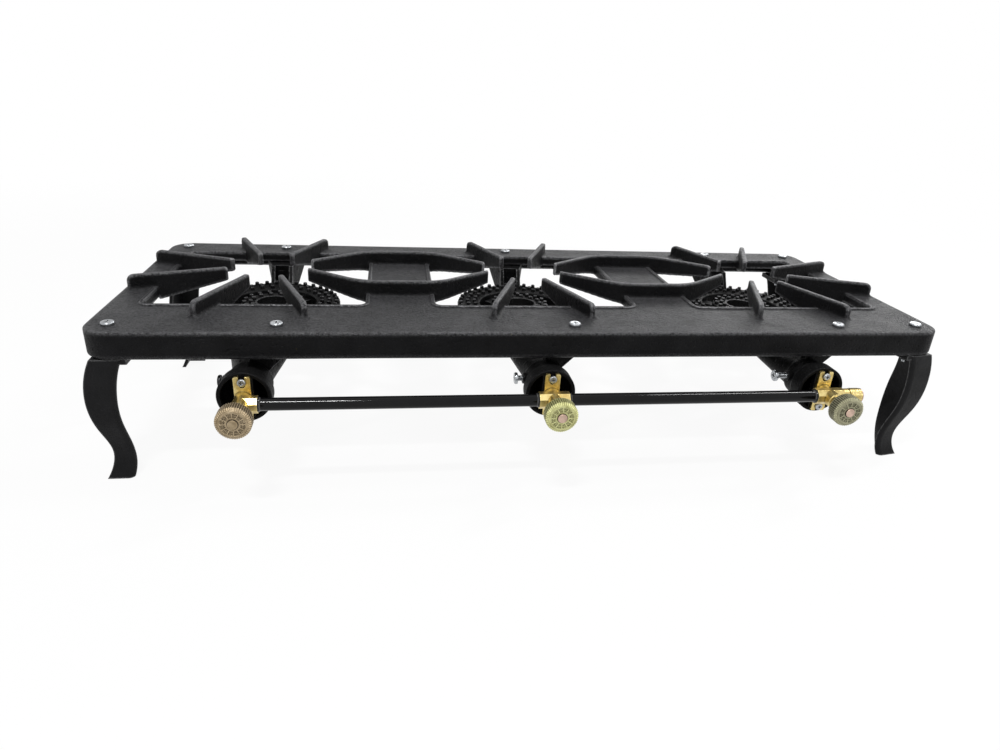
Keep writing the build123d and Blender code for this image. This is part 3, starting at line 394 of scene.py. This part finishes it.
def make_corner_shade_and_grime():
    """Painted shade, with some dirt, in grooves and inside corners, where little light comes in."""
    group, given, result = new_effect(
        "corner_shade_and_grime",
        [
            ("Groove Width", "NodeSocketFloat", 0.002),
            ("Amount", "NodeSocketFloat", 1.0),
        ],
        [("Shade and Grime", "NodeSocketFloat")],
    )
    # An occlusion mask darkens grooves and inside corners: painted shade, broken up by patchy dirt.
    openness = group.nodes.new("ShaderNodeAmbientOcclusion")
    openness.samples = 8
    group.links.new(given.outputs["Groove Width"], openness.inputs["Distance"])
    closed_in = spread(group, openness.outputs["AO"], 0.45, 0.98, 1.0, 0.0)
    patches = spread(group, noise(group, 420.0, 3.0, 0.6), 0.3, 0.6, 0.7, 1.0)
    shade_and_grime = maths(group, "MULTIPLY", closed_in, patches)
    weighed = maths(group, "MULTIPLY", shade_and_grime, given.outputs["Amount"])
    group.links.new(weighed, result.inputs["Shade and Grime"])
    return group


def make_tool_marks():
    """Fine rings that a lathe or a polishing wheel leaves across the stove's depth, as a height."""
    group, given, result = new_effect(
        "tool_marks",
        [
            ("Rings per Metre", "NodeSocketFloat", 2600.0),
            ("Stains per Metre", "NodeSocketFloat", 130.0),
        ],
        [("Height", "NodeSocketFloat"), ("Stain", "NodeSocketFloat")],
    )
    place = group.nodes.new("ShaderNodeTexCoord").outputs["Object"]
    stretch = group.nodes.new("ShaderNodeVectorMath")
    stretch.operation = "MULTIPLY"
    stretch.inputs[1].default_value = (0.05, 1.0, 0.05)
    group.links.new(place, stretch.inputs[0])
    rings = noise(group, given.outputs["Rings per Metre"], 2.0, 0.6, stretch.outputs["Vector"])
    group.links.new(rings, result.inputs["Height"])
    stains = noise(group, given.outputs["Stains per Metre"], 4.0, 0.62)
    group.links.new(spread(group, stains, 0.3, 0.7), result.inputs["Stain"])
    return group


SAND_CAST_GRAIN = make_sand_cast_grain()
EDGE_WEAR_AND_HIGHLIGHT = make_edge_wear_and_highlight()
SETTLED_DUST = make_settled_dust()
CORNER_SHADE_AND_GRIME = make_corner_shade_and_grime()
TOOL_MARKS = make_tool_marks()


# What each finish is put together from
def new_finish(name):
    material = bpy.data.materials.new(name)
    material.use_nodes = True
    tree = material.node_tree
    return material, tree, tree.nodes["Principled BSDF"]


def place_effect(tree, effect, **amounts):
    node = tree.nodes.new("ShaderNodeGroup")
    node.node_tree = effect
    for label, value in amounts.items():
        node.inputs[label.replace("_", " ")].default_value = value
    return node


def blend_colours(tree, mask, first, second):
    node = tree.nodes.new("ShaderNodeMix")
    node.data_type = "RGBA"
    tree.links.new(mask, node.inputs["Factor"])
    first_socket, second_socket = [s for s in node.inputs if s.type == "RGBA"]
    for socket, colour in ((first_socket, first), (second_socket, second)):
        if isinstance(colour, tuple):
            socket.default_value = (*colour, 1.0)
        else:
            tree.links.new(colour, socket)
    return [s for s in node.outputs if s.type == "RGBA"][0]


def blend_values(tree, mask, first, second):
    node = tree.nodes.new("ShaderNodeMapRange")
    tree.links.new(mask, node.inputs["Value"])
    for label, value in (("To Min", first), ("To Max", second)):
        if isinstance(value, (int, float)):
            node.inputs[label].default_value = value
        else:
            tree.links.new(value, node.inputs[label])
    return node.outputs["Result"]


def raise_surface(tree, shader, height, distance, base_normal=None):
    bump = tree.nodes.new("ShaderNodeBump")
    if base_normal is not None:
        tree.links.new(base_normal, bump.inputs["Normal"])
    bump.inputs["Distance"].default_value = distance
    tree.links.new(height, bump.inputs["Height"])
    tree.links.new(bump.outputs["Normal"], shader.inputs["Normal"])


def finish_cast_iron(
    name,
    paint,
    dusty_paint,
    bare_iron_and_highlight,
    grains_per_metre,
    bump_distance,
    pit_share,
    rough_paint,
    rough_wear,
    edge_width,
    gloss_level,
):
    """Black stove paint over cast iron: grained, dusty on top, and lighter and metallic along its edges,
    which is rubbed wear and a painted highlight.
    """
    material, tree, shader = new_finish(name)
    grain = place_effect(
        tree,
        SAND_CAST_GRAIN,
        Grains_per_Metre=grains_per_metre,
        Pits_per_Metre=grains_per_metre / 3.2,
        Pit_Share=pit_share,
    )
    wear_and_highlight = place_effect(tree, EDGE_WEAR_AND_HIGHLIGHT, Edge_Width=edge_width, Breaks_per_Metre=340.0)
    dust = place_effect(tree, SETTLED_DUST)
    dark_paint = tuple(0.5 * c for c in paint)
    painted = blend_colours(tree, grain.outputs["Mottle"], dark_paint, paint)
    dusty = blend_colours(tree, dust.outputs["Dust"], painted, dusty_paint)
    # Outside edges turn to a lighter colour: rubbed bare iron and a painted highlight.
    colour = blend_colours(tree, wear_and_highlight.outputs["Wear and Highlight"], dusty, bare_iron_and_highlight)
    tree.links.new(colour, shader.inputs["Base Color"])
    paint_roughness = blend_values(tree, grain.outputs["Mottle"], rough_paint + 0.08, rough_paint - 0.06)
    roughness = blend_values(tree, wear_and_highlight.outputs["Edge"], paint_roughness, rough_wear)
    tree.links.new(roughness, shader.inputs["Roughness"])
    # Edges turn metallic so that they glint: part of the painted highlight.
    bare_and_highlight = blend_values(tree, wear_and_highlight.outputs["Wear and Highlight"], 0.0, 0.9)
    tree.links.new(bare_and_highlight, shader.inputs["Metallic"])
    shader.inputs["Specular IOR Level"].default_value = gloss_level
    raise_surface(tree, shader, grain.outputs["Height"], bump_distance, wear_and_highlight.outputs["Rounded Normal"])
    return material


def finish_turned_metal(name, metal, stain, roughness, rings_per_metre=2600.0, bump_distance=0.00002):
    """Bare or plated metal with fine tool marks, slight stains, corners darkened by painted shade and
    dirt, and bright edges.
    """
    material, tree, shader = new_finish(name)
    marks = place_effect(tree, TOOL_MARKS, Rings_per_Metre=rings_per_metre)
    wear_and_highlight = place_effect(tree, EDGE_WEAR_AND_HIGHLIGHT, Edge_Width=0.0004, Breaks_per_Metre=500.0)
    shade_and_grime = place_effect(tree, CORNER_SHADE_AND_GRIME, Groove_Width=0.002, Amount=0.85)
    stained = blend_colours(tree, marks.outputs["Stain"], stain, metal)
    bright = tuple(min(1.0, 1.12 * c) for c in metal)
    worn = blend_colours(tree, wear_and_highlight.outputs["Wear and Highlight"], stained, bright)
    # The colour that grooves and inside corners darken towards: painted shade, with some dirt.
    shade_and_grime_colour = tuple(0.12 * c for c in metal)
    colour = blend_colours(tree, shade_and_grime.outputs["Shade and Grime"], worn, shade_and_grime_colour)
    tree.links.new(colour, shader.inputs["Base Color"])
    varied = blend_values(tree, marks.outputs["Stain"], roughness + 0.12, roughness)
    tree.links.new(varied, shader.inputs["Roughness"])
    shader.inputs["Metallic"].default_value = 1.0
    raise_surface(tree, shader, marks.outputs["Height"], bump_distance, wear_and_highlight.outputs["Rounded Normal"])
    return material


def finish_passivated_zinc(name, pale, deep, shade_and_grime_colour, roughness):
    """A die-cast zinc knob under a passivated film whose tint drifts, with painted shade and dirt
    darkening its grooves.
    """
    material, tree, shader = new_finish(name)
    grain = place_effect(
        tree,
        SAND_CAST_GRAIN,
        Grains_per_Metre=1900.0,
        Pits_per_Metre=620.0,
        Waves_per_Metre=150.0,
        Pit_Share=0.5,
    )
    wear_and_highlight = place_effect(tree, EDGE_WEAR_AND_HIGHLIGHT, Edge_Width=0.0004, Breaks_per_Metre=400.0)
    shade_and_grime = place_effect(tree, CORNER_SHADE_AND_GRIME, Groove_Width=0.0028)
    tint = blend_colours(tree, grain.outputs["Mottle"], deep, pale)
    bright = tuple(min(1.0, 1.3 * c) for c in pale)
    worn = blend_colours(tree, wear_and_highlight.outputs["Wear and Highlight"], tint, bright)
    # Grooves darken towards the given colour: painted shade, with some dirt.
    colour = blend_colours(tree, shade_and_grime.outputs["Shade and Grime"], worn, shade_and_grime_colour)
    tree.links.new(colour, shader.inputs["Base Color"])
    varied = blend_values(tree, grain.outputs["Mottle"], roughness + 0.14, roughness)
    tree.links.new(varied, shader.inputs["Roughness"])
    shader.inputs["Metallic"].default_value = 0.75
    raise_surface(tree, shader, grain.outputs["Height"], 0.00012, wear_and_highlight.outputs["Rounded Normal"])
    return material


def finish_gloss_pipe(name):
    """Gloss black paint on a steel pipe, with slow runs and lighter worn edges."""
    material, tree, shader = new_finish(name)
    grain = place_effect(
        tree,
        SAND_CAST_GRAIN,
        Grains_per_Metre=1200.0,
        Pits_per_Metre=240.0,
        Waves_per_Metre=60.0,
        Pit_Share=0.25,
    )
    wear_and_highlight = place_effect(tree, EDGE_WEAR_AND_HIGHLIGHT, Edge_Width=0.0005, Breaks_per_Metre=300.0)
    painted = blend_colours(tree, grain.outputs["Mottle"], (0.002, 0.002, 0.0024), (0.004, 0.004, 0.0046))
    colour = blend_colours(tree, wear_and_highlight.outputs["Wear and Highlight"], painted, (0.08, 0.08, 0.08))
    tree.links.new(colour, shader.inputs["Base Color"])
    roughness = blend_values(tree, grain.outputs["Mottle"], 0.09, 0.05)
    tree.links.new(roughness, shader.inputs["Roughness"])
    shader.inputs["Specular IOR Level"].default_value = 0.19
    raise_surface(tree, shader, grain.outputs["Height"], 0.000012)
    return material


def finish_rubber(name):
    """Soft black rubber."""
    material, tree, shader = new_finish(name)
    grain = place_effect(tree, SAND_CAST_GRAIN, Grains_per_Metre=2600.0, Pit_Share=0.1)
    colour = blend_colours(tree, grain.outputs["Mottle"], (0.02, 0.02, 0.02), (0.05, 0.05, 0.05))
    tree.links.new(colour, shader.inputs["Base Color"])
    roughness = blend_values(tree, grain.outputs["Mottle"], 0.8, 0.65)
    tree.links.new(roughness, shader.inputs["Roughness"])
    raise_surface(tree, shader, grain.outputs["Height"], 0.00003)
    return material


# In the cast-iron finishes, the bare iron colour along edges is rubbed wear and a painted highlight.
FINISHES = {
    "cast_iron_plate": finish_cast_iron(
        "cast_iron_plate",
        paint=(0.0065, 0.0065, 0.0072),
        dusty_paint=(0.06, 0.06, 0.063),
        bare_iron_and_highlight=(0.26, 0.26, 0.27),
        grains_per_metre=760.0,
        bump_distance=0.0009,
        pit_share=0.7,
        rough_paint=0.44,
        rough_wear=0.3,
        edge_width=0.0019,
        gloss_level=0.08,
    ),
    "cast_iron_bead": finish_cast_iron(
        "cast_iron_bead",
        paint=(0.0065, 0.0065, 0.0072),
        dusty_paint=(0.05, 0.05, 0.0525),
        bare_iron_and_highlight=(0.13, 0.13, 0.135),
        grains_per_metre=760.0,
        bump_distance=0.0009,
        pit_share=0.7,
        rough_paint=0.44,
        rough_wear=0.36,
        edge_width=0.0006,
        gloss_level=0.08,
    ),
    "cast_iron_burner": finish_cast_iron(
        "cast_iron_burner",
        paint=(0.0045, 0.0045, 0.0048),
        dusty_paint=(0.01, 0.01, 0.0103),
        bare_iron_and_highlight=(0.16, 0.16, 0.165),
        grains_per_metre=420.0,
        bump_distance=0.0009,
        pit_share=0.9,
        rough_paint=0.4,
        rough_wear=0.28,
        edge_width=0.0006,
        gloss_level=0.09,
    ),
    "cast_iron_cup": finish_cast_iron(
        "cast_iron_cup",
        paint=(0.004, 0.004, 0.0043),
        dusty_paint=(0.007, 0.007, 0.0072),
        bare_iron_and_highlight=(0.03, 0.03, 0.031),
        grains_per_metre=620.0,
        bump_distance=0.0006,
        pit_share=0.7,
        rough_paint=0.5,
        rough_wear=0.4,
        edge_width=0.0008,
        gloss_level=0.06,
    ),
    "cast_iron_leg": finish_cast_iron(
        "cast_iron_leg",
        paint=(0.009, 0.009, 0.0098),
        dusty_paint=(0.02, 0.02, 0.021),
        bare_iron_and_highlight=(0.1, 0.1, 0.102),
        grains_per_metre=700.0,
        bump_distance=0.0003,
        pit_share=0.35,
        rough_paint=0.42,
        rough_wear=0.34,
        edge_width=0.0008,
        gloss_level=0.1,
    ),
    "zinc_screw": finish_turned_metal("zinc_screw", (0.5, 0.52, 0.54), (0.22, 0.23, 0.24), 0.24),
    "black_screw": finish_turned_metal("black_screw", (0.035, 0.035, 0.037), (0.02, 0.02, 0.02), 0.34),
    "valve_brass": finish_turned_metal("valve_brass", (0.8, 0.66, 0.3), (0.46, 0.34, 0.12), 0.27),
    "seal_rubber": finish_rubber("seal_rubber"),
    "rivet_copper": finish_turned_metal("rivet_copper", (0.62, 0.45, 0.36), (0.42, 0.3, 0.24), 0.36),
    # Each knob's darkest colour is for its grooves: painted shade, with some dirt.
    "knob_tan": finish_passivated_zinc(
        "knob_tan",
        pale=(0.43, 0.34, 0.22),
        deep=(0.21, 0.155, 0.085),
        shade_and_grime_colour=(0.03, 0.022, 0.012),
        roughness=0.34,
    ),
    "knob_yellow": finish_passivated_zinc(
        "knob_yellow",
        pale=(0.62, 0.62, 0.31),
        deep=(0.31, 0.3, 0.11),
        shade_and_grime_colour=(0.07, 0.065, 0.018),
        roughness=0.32,
    ),
    "knob_grey_green": finish_passivated_zinc(
        "knob_grey_green",
        pale=(0.37, 0.36, 0.235),
        deep=(0.17, 0.155, 0.1),
        shade_and_grime_colour=(0.025, 0.023, 0.014),
        roughness=0.34,
    ),
    "pipe_black": finish_gloss_pipe("pipe_black"),
}


# The left knob's rivet went through the same bath as the knob. The leg nuts and spring washers are
# blackened as painted shade, where they sit in shadow under the frame, and the burner nuts and spring
# washers get the same black finish.
FINISH_OF_NODE = {
    "knob_rivet_left": "knob_tan",
    "leg_nuts": "black_screw",
    "burner_nuts": "black_screw",
    "leg_spring_washers": "black_screw",
    "burner_spring_washers": "black_screw",
}


def dress_nodes():
    """Gives every CAD node the finish of its material slot in the record."""
    slots = {part["node"]: part["material_slot"] for part in frame["record"]["subparts"]}
    for name, node in frame["nodes"].items():
        finish = FINISHES[FINISH_OF_NODE.get(name, slots[name])]
        if not node.material_slots:
            node.data.materials.append(finish)
        for slot in node.material_slots:
            slot.material = finish


# Pieces that the CAD leaves plain
def new_piece(name, shape, body, slot, finish=None):
    """A piece from a bmesh: it rides on a body, in the finish of the named slot if no other finish is
    named."""
    mesh = bpy.data.meshes.new(name)
    bmesh.ops.recalc_face_normals(shape, faces=shape.faces)
    shape.to_mesh(mesh)
    shape.free()
    piece = bpy.data.objects.new(name, mesh)
    bpy.context.collection.objects.link(piece)
    mesh.shade_smooth()
    mesh.set_sharp_from_angle(angle=math.radians(35))
    mesh.materials.append(FINISHES[finish or slot])
    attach(piece, body)
    return piece


def axes_along(direction):
    """Two directions square to this one and to each other."""
    forward = Vector(direction).normalized()
    helper = Vector((0.0, 0.0, 1.0)) if abs(forward.z) < 0.9 else Vector((1.0, 0.0, 0.0))
    sideways = forward.cross(helper).normalized()
    return forward, sideways, forward.cross(sideways)


def add_turned_ring(shape, centre, direction, profile, segments=48):
    """Turns a closed profile of (radius, distance along the axis) round an axis."""
    forward, sideways, upward = axes_along(direction)
    rings = []
    for step in range(segments):
        turn = 2 * math.pi * step / segments
        outward = math.cos(turn) * sideways + math.sin(turn) * upward
        rings.append([shape.verts.new(centre + r * outward + d * forward) for r, d in profile])
    for step, ring in enumerate(rings):
        following = rings[(step + 1) % segments]
        for i in range(len(profile)):
            j = (i + 1) % len(profile)
            shape.faces.new((ring[i], ring[j], following[j], following[i]))


def add_thread(shape, start, direction, length, root_radius, crest_radius, pitch, steps_per_turn=28):
    """A screw thread: one ridge wound round a shank, which runs out to nothing at both ends."""
    forward, sideways, upward = axes_along(direction)
    steps = round(steps_per_turn * (length / pitch - 1.0))
    sections = []
    for step in range(steps + 1):
        turn = 2 * math.pi * step / steps_per_turn
        outward = math.cos(turn) * sideways + math.sin(turn) * upward
        middle = pitch / 2 + (length - pitch) * step / steps
        fade = min(1.0, step / steps_per_turn * 2, (steps - step) / steps_per_turn * 2)
        crest = root_radius + (crest_radius - root_radius) * fade
        profile = (
            (root_radius - 0.0002, -0.46 * pitch),
            (crest, -0.09 * pitch),
            (crest, 0.09 * pitch),
            (root_radius - 0.0002, 0.46 * pitch),
        )
        sections.append(
            [shape.verts.new(start + r * outward + (middle + d) * forward) for r, d in profile]
        )
    for near, far in zip(sections, sections[1:]):
        for i in range(4):
            j = (i + 1) % 4
            shape.faces.new((near[i], near[j], far[j], far[i]))
    shape.faces.new(sections[0])
    shape.faces.new(list(reversed(sections[-1])))


def make_sand_skin(node):
    """The frame as it leaves the sand: inside corners filled, edges blunted, faces a little wavy."""
    solid = frame["nodes"][node]
    rough = bpy.data.objects.new("rough_" + node, solid.data.copy())
    rough.matrix_world = solid.matrix_world
    bpy.context.collection.objects.link(rough)
    skin = rough.modifiers.new("sand_skin", "REMESH")
    skin.mode = "VOXEL"
    skin.voxel_size = SAND_SKIN_STEP
    blunting = rough.modifiers.new("blunting", "SMOOTH")
    blunting.factor = 0.5
    blunting.iterations = SAND_SKIN_BLUNTING
    dense = rough.evaluated_get(bpy.context.evaluated_depsgraph_get())
    thinning = rough.modifiers.new("thinning", "DECIMATE")
    thinning.ratio = SAND_SKIN_FACES / (2 * len(dense.data.polygons))
    thinned = rough.evaluated_get(bpy.context.evaluated_depsgraph_get())
    mesh = bpy.data.meshes.new_from_object(thinned)
    mesh.name = node + "_skin"
    bpy.data.objects.remove(rough)
    places = [point.co.copy() for point in mesh.vertices]
    outward = [point.normal.copy() for point in mesh.vertices]
    for point, place, normal in zip(mesh.vertices, places, outward):
        wave = 0.5 + 0.5 * mathutils.noise.noise(place * SAND_SKIN_WAVES_PER_METRE)
        point.co = place - normal * SAND_SKIN_WAVE_DEPTH * wave
    mesh.shade_smooth()
    piece = bpy.data.objects.new(node + "_skin", mesh)
    bpy.context.collection.objects.link(piece)
    mesh.materials.clear()
    mesh.materials.append(FINISHES["cast_iron_plate"])
    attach(piece, "stove")
    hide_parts(node)


def make_set_screw_threads():
    for place in PLACES:
        boss_x = BURNER_X[place] + SET_SCREW_BOSS_X
        stand_off = boss_x - SET_SCREW_HEAD_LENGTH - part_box("set_screw_" + place)[0].x
        shape = bmesh.new()
        add_thread(
            shape,
            Vector((boss_x + SET_SCREW_THREAD_START, SET_SCREW_Y, SET_SCREW_Z)),
            (-1, 0, 0),
            stand_off + SET_SCREW_THREAD_OVERLAP,
            SET_SCREW_ROOT_RADIUS,
            SET_SCREW_CREST_RADIUS,
            SET_SCREW_PITCH,
        )
        new_piece("set_screw_thread_" + place, shape, "stove", SET_SCREW_FINISH[place])


def make_inlet_thread():
    shape = bmesh.new()
    add_thread(
        shape,
        Vector((INLET_THREAD_START, PIPE_Y, VALVE_Z)),
        (1, 0, 0),
        INLET_THREAD_LENGTH - INLET_THREAD_BARE_END,
        INLET_THREAD_RADIUS,
        INLET_THREAD_RADIUS + INLET_THREAD_HEIGHT,
        INLET_THREAD_PITCH,
        steps_per_turn=40,
    )
    new_piece("inlet_thread", shape, "stove", "valve_brass")


def make_pipe_fillets():
    """Where a pipe goes into a valve's socket, solder and paint fill the corner."""
    profile = (
        (PIPE_RADIUS - 0.0003, -0.0003),
        (PIPE_RADIUS + 0.0013, -0.0003),
        (PIPE_RADIUS + 0.0011, 0.0006),
        (PIPE_RADIUS + 0.0005, 0.0013),
        (PIPE_RADIUS + 0.0001, 0.0026),
        (PIPE_RADIUS - 0.0003, 0.0027),
    )
    for name, place, side in PIPE_ENDS:
        shape = bmesh.new()
        centre = Vector((BURNER_X[place] + side * SOCKET_HALF_LENGTH, PIPE_Y, VALVE_Z))
        add_turned_ring(shape, centre, (side, 0, 0), profile)
        new_piece("pipe_fillet_" + name, shape, "stove", "pipe_black")


def make_knob_marks():
    """Two raised rings and short raised strokes in the band of each knob's face."""
    strokes = random.Random(7)
    floor = KNOB_FACE_Y + KNOB_BAND_DEPTH
    for place, burner_x in BURNER_X.items():
        shape = bmesh.new()
        centre = Vector((burner_x, floor, VALVE_Z))
        for radius in (KNOB_BAND_INNER_RADIUS + 0.0004, KNOB_BAND_OUTER_RADIUS - 0.0005):
            profile = (
                (radius - 0.00035, -0.0002),
                (radius - 0.00018, KNOB_RING_HEIGHT),
                (radius + 0.00018, KNOB_RING_HEIGHT),
                (radius + 0.00035, -0.0002),
            )
            add_turned_ring(shape, centre, (0, -1, 0), profile, segments=72)
        for field in range(KNOB_FIELD_COUNT):
            for stroke in range(KNOB_STROKES_PER_FIELD):
                turn = 2 * math.pi * (field + 0.26 + 0.24 * stroke) / KNOB_FIELD_COUNT
                inner = strokes.uniform(0.0077, 0.0086)
                outer = strokes.uniform(0.0094, 0.0107)
                add_stroke(shape, centre, turn, inner, outer)
        new_piece("knob_marks_" + place, shape, "knob_" + place, KNOB_FINISH[place])


def add_stroke(shape, centre, turn, inner, outer):
    """A short raised bar that points away from the knob's middle, narrower on top."""
    outward = Vector((math.cos(turn), 0.0, math.sin(turn)))
    sideways = Vector((-math.sin(turn), 0.0, math.cos(turn)))
    foot, top = [], []
    for along, side in ((inner, -1), (outer, -1), (outer, 1), (inner, 1)):
        edge = centre + along * outward + side * STROKE_HALF_WIDTH * sideways
        foot.append(shape.verts.new(edge + Vector((0.0, 0.0002, 0.0))))
        inset = 0.0002 if along == inner else -0.0002
        raised = centre + (along + inset) * outward + 0.55 * side * STROKE_HALF_WIDTH * sideways
        top.append(shape.verts.new(raised - Vector((0.0, STROKE_HEIGHT, 0.0))))
    shape.faces.new(foot)
    shape.faces.new(top)
    for i in range(4):
        j = (i + 1) % 4
        shape.faces.new((foot[i], foot[j], top[j], top[i]))


def make_knob_ridges():
    """The fluting of a knob's rim, carried on over the slope between its rim and its face."""
    middle_radius = KNOB_RADIUS - 0.45 * KNOB_BEVEL_WIDTH
    slope = Vector((KNOB_BEVEL_WIDTH, KNOB_BEVEL_DEPTH)).normalized()
    reach = 0.36 * Vector((KNOB_BEVEL_WIDTH, KNOB_BEVEL_DEPTH)).length
    for place, burner_x in BURNER_X.items():
        shape = bmesh.new()
        centre = Vector((burner_x, KNOB_FACE_Y, VALVE_Z))
        for ridge in range(KNOB_NOTCH_COUNT):
            turn = 2 * math.pi * ridge / KNOB_NOTCH_COUNT
            outward = Vector((math.cos(turn), 0.0, math.sin(turn)))
            sideways = Vector((-math.sin(turn), 0.0, math.cos(turn)))
            raised = (slope.y * outward - slope.x * Vector((0.0, 1.0, 0.0))) * RIDGE_HEIGHT
            foot, top = [], []
            for along, side in ((-1, -1), (1, -1), (1, 1), (-1, 1)):
                radius = middle_radius + along * reach * slope.x
                depth = 0.55 * KNOB_BEVEL_DEPTH + along * reach * slope.y
                spot = centre + radius * outward + Vector((0.0, depth, 0.0))
                foot.append(
                    shape.verts.new(spot + RIDGE_FOOT_HALF_WIDTH * side * sideways - 0.4 * raised)
                )
                top.append(shape.verts.new(spot + RIDGE_TOP_HALF_WIDTH * side * sideways + raised))
            shape.faces.new(foot)
            shape.faces.new(top)
            for i in range(4):
                j = (i + 1) % 4
                shape.faces.new((foot[i], foot[j], top[j], top[i]))
        new_piece("knob_ridges_" + place, shape, "knob_" + place, KNOB_FINISH[place])


def opening_path(outset):
    """Points round an opening's edge, moved out from it: four sides and four rounded corners."""
    radius = OPENING_CORNER_RADIUS + outset
    points = []
    for corner, (x_side, y_side) in enumerate(((1, 1), (-1, 1), (-1, -1), (1, -1))):
        x = x_side * (OPENING_HALF_LENGTH - OPENING_CORNER_RADIUS)
        y = y_side * (OPENING_HALF_DEPTH - OPENING_CORNER_RADIUS)
        for step in range(9):
            turn = math.pi / 2 * (corner + step / 8)
            outward = Vector((math.cos(turn), math.sin(turn), 0.0))
            points.append((Vector((x, y, 0.0)) + radius * outward, outward))
    return points


def make_opening_beads():
    """The rounded bead that the pattern leaves round each opening of the frame."""
    for place, burner_x in BURNER_X.items():
        shape = bmesh.new()
        middle = Vector((burner_x, OPENING_MIDDLE_Y, OPENING_LIP_TOP))
        sections = []
        for point, outward in opening_path(BEAD_OUTSET):
            section = []
            for step in range(9):
                turn = math.pi * step / 8
                height = BEAD_HEIGHT * math.sin(turn) - 0.0004
                spot = middle + point + BEAD_HALF_WIDTH * math.cos(turn) * outward
                section.append(shape.verts.new(spot + Vector((0.0, 0.0, height))))
            sections.append(section)
        for i, near in enumerate(sections):
            far = sections[(i + 1) % len(sections)]
            for j in range(9):
                k = (j + 1) % 9
                shape.faces.new((near[j], near[k], far[k], far[j]))
        new_piece("opening_bead_" + place, shape, "stove", "cast_iron_plate", "cast_iron_bead")


def make_inlet_tip():
    """The inlet's end face, where the plating is cut through to the copper-coloured metal."""
    shape = bmesh.new()
    centre = Vector((INLET_TIP_X, PIPE_Y, VALVE_Z))
    profile = (
        (INLET_BORE_RADIUS + 0.0002, -0.0008),
        (INLET_BORE_RADIUS + 0.0002, 0.0002),
        (INLET_THREAD_RADIUS - 0.001, 0.0002),
        (INLET_THREAD_RADIUS + 0.0001, -0.0007),
        (INLET_THREAD_RADIUS + 0.0001, -0.0016),
        (INLET_THREAD_RADIUS - 0.0006, -0.0017),
    )
    add_turned_ring(shape, centre, (1, 0, 0), profile, segments=56)
    new_piece("inlet_tip", shape, "stove", "rivet_copper")


def make_rivet_shadow_rings():
    """A thin dark ring round each knob's rivet: painted shadow of the gap under its head."""
    for place, burner_x in BURNER_X.items():
        shape = bmesh.new()
        centre = Vector((burner_x, KNOB_FACE_Y, VALVE_Z))
        profile = (
            (RIVET_HEAD_RADIUS - 0.0006, 0.0001),
            (RIVET_HEAD_RADIUS - 0.0006, -0.0002),
            (RIVET_HEAD_RADIUS + 0.0006, -0.0002),
            (RIVET_HEAD_RADIUS + 0.0005, 0.00012),
        )
        add_turned_ring(shape, centre, (0, -1, 0), profile, segments=64)
        # The ring is black: painted shadow round the rivet's head.
        new_piece("rivet_shadow_ring_" + place, shape, "knob_" + place, "black_screw")


make_camera()
make_world()
for lamp_name, (lamp_place, lamp_direction, lamp_size, lamp_watts) in LAMPS.items():
    make_lamp(lamp_name, lamp_place, lamp_direction, lamp_size, lamp_watts)
make_floor()
dress_nodes()
make_sand_skin("frame_casting")
make_set_screw_threads()
make_inlet_thread()
make_pipe_fillets()
make_inlet_tip()
make_knob_marks()
make_knob_ridges()
make_rivet_shadow_rings()
make_opening_beads()

bpy.context.scene.view_settings.view_transform = "Standard"
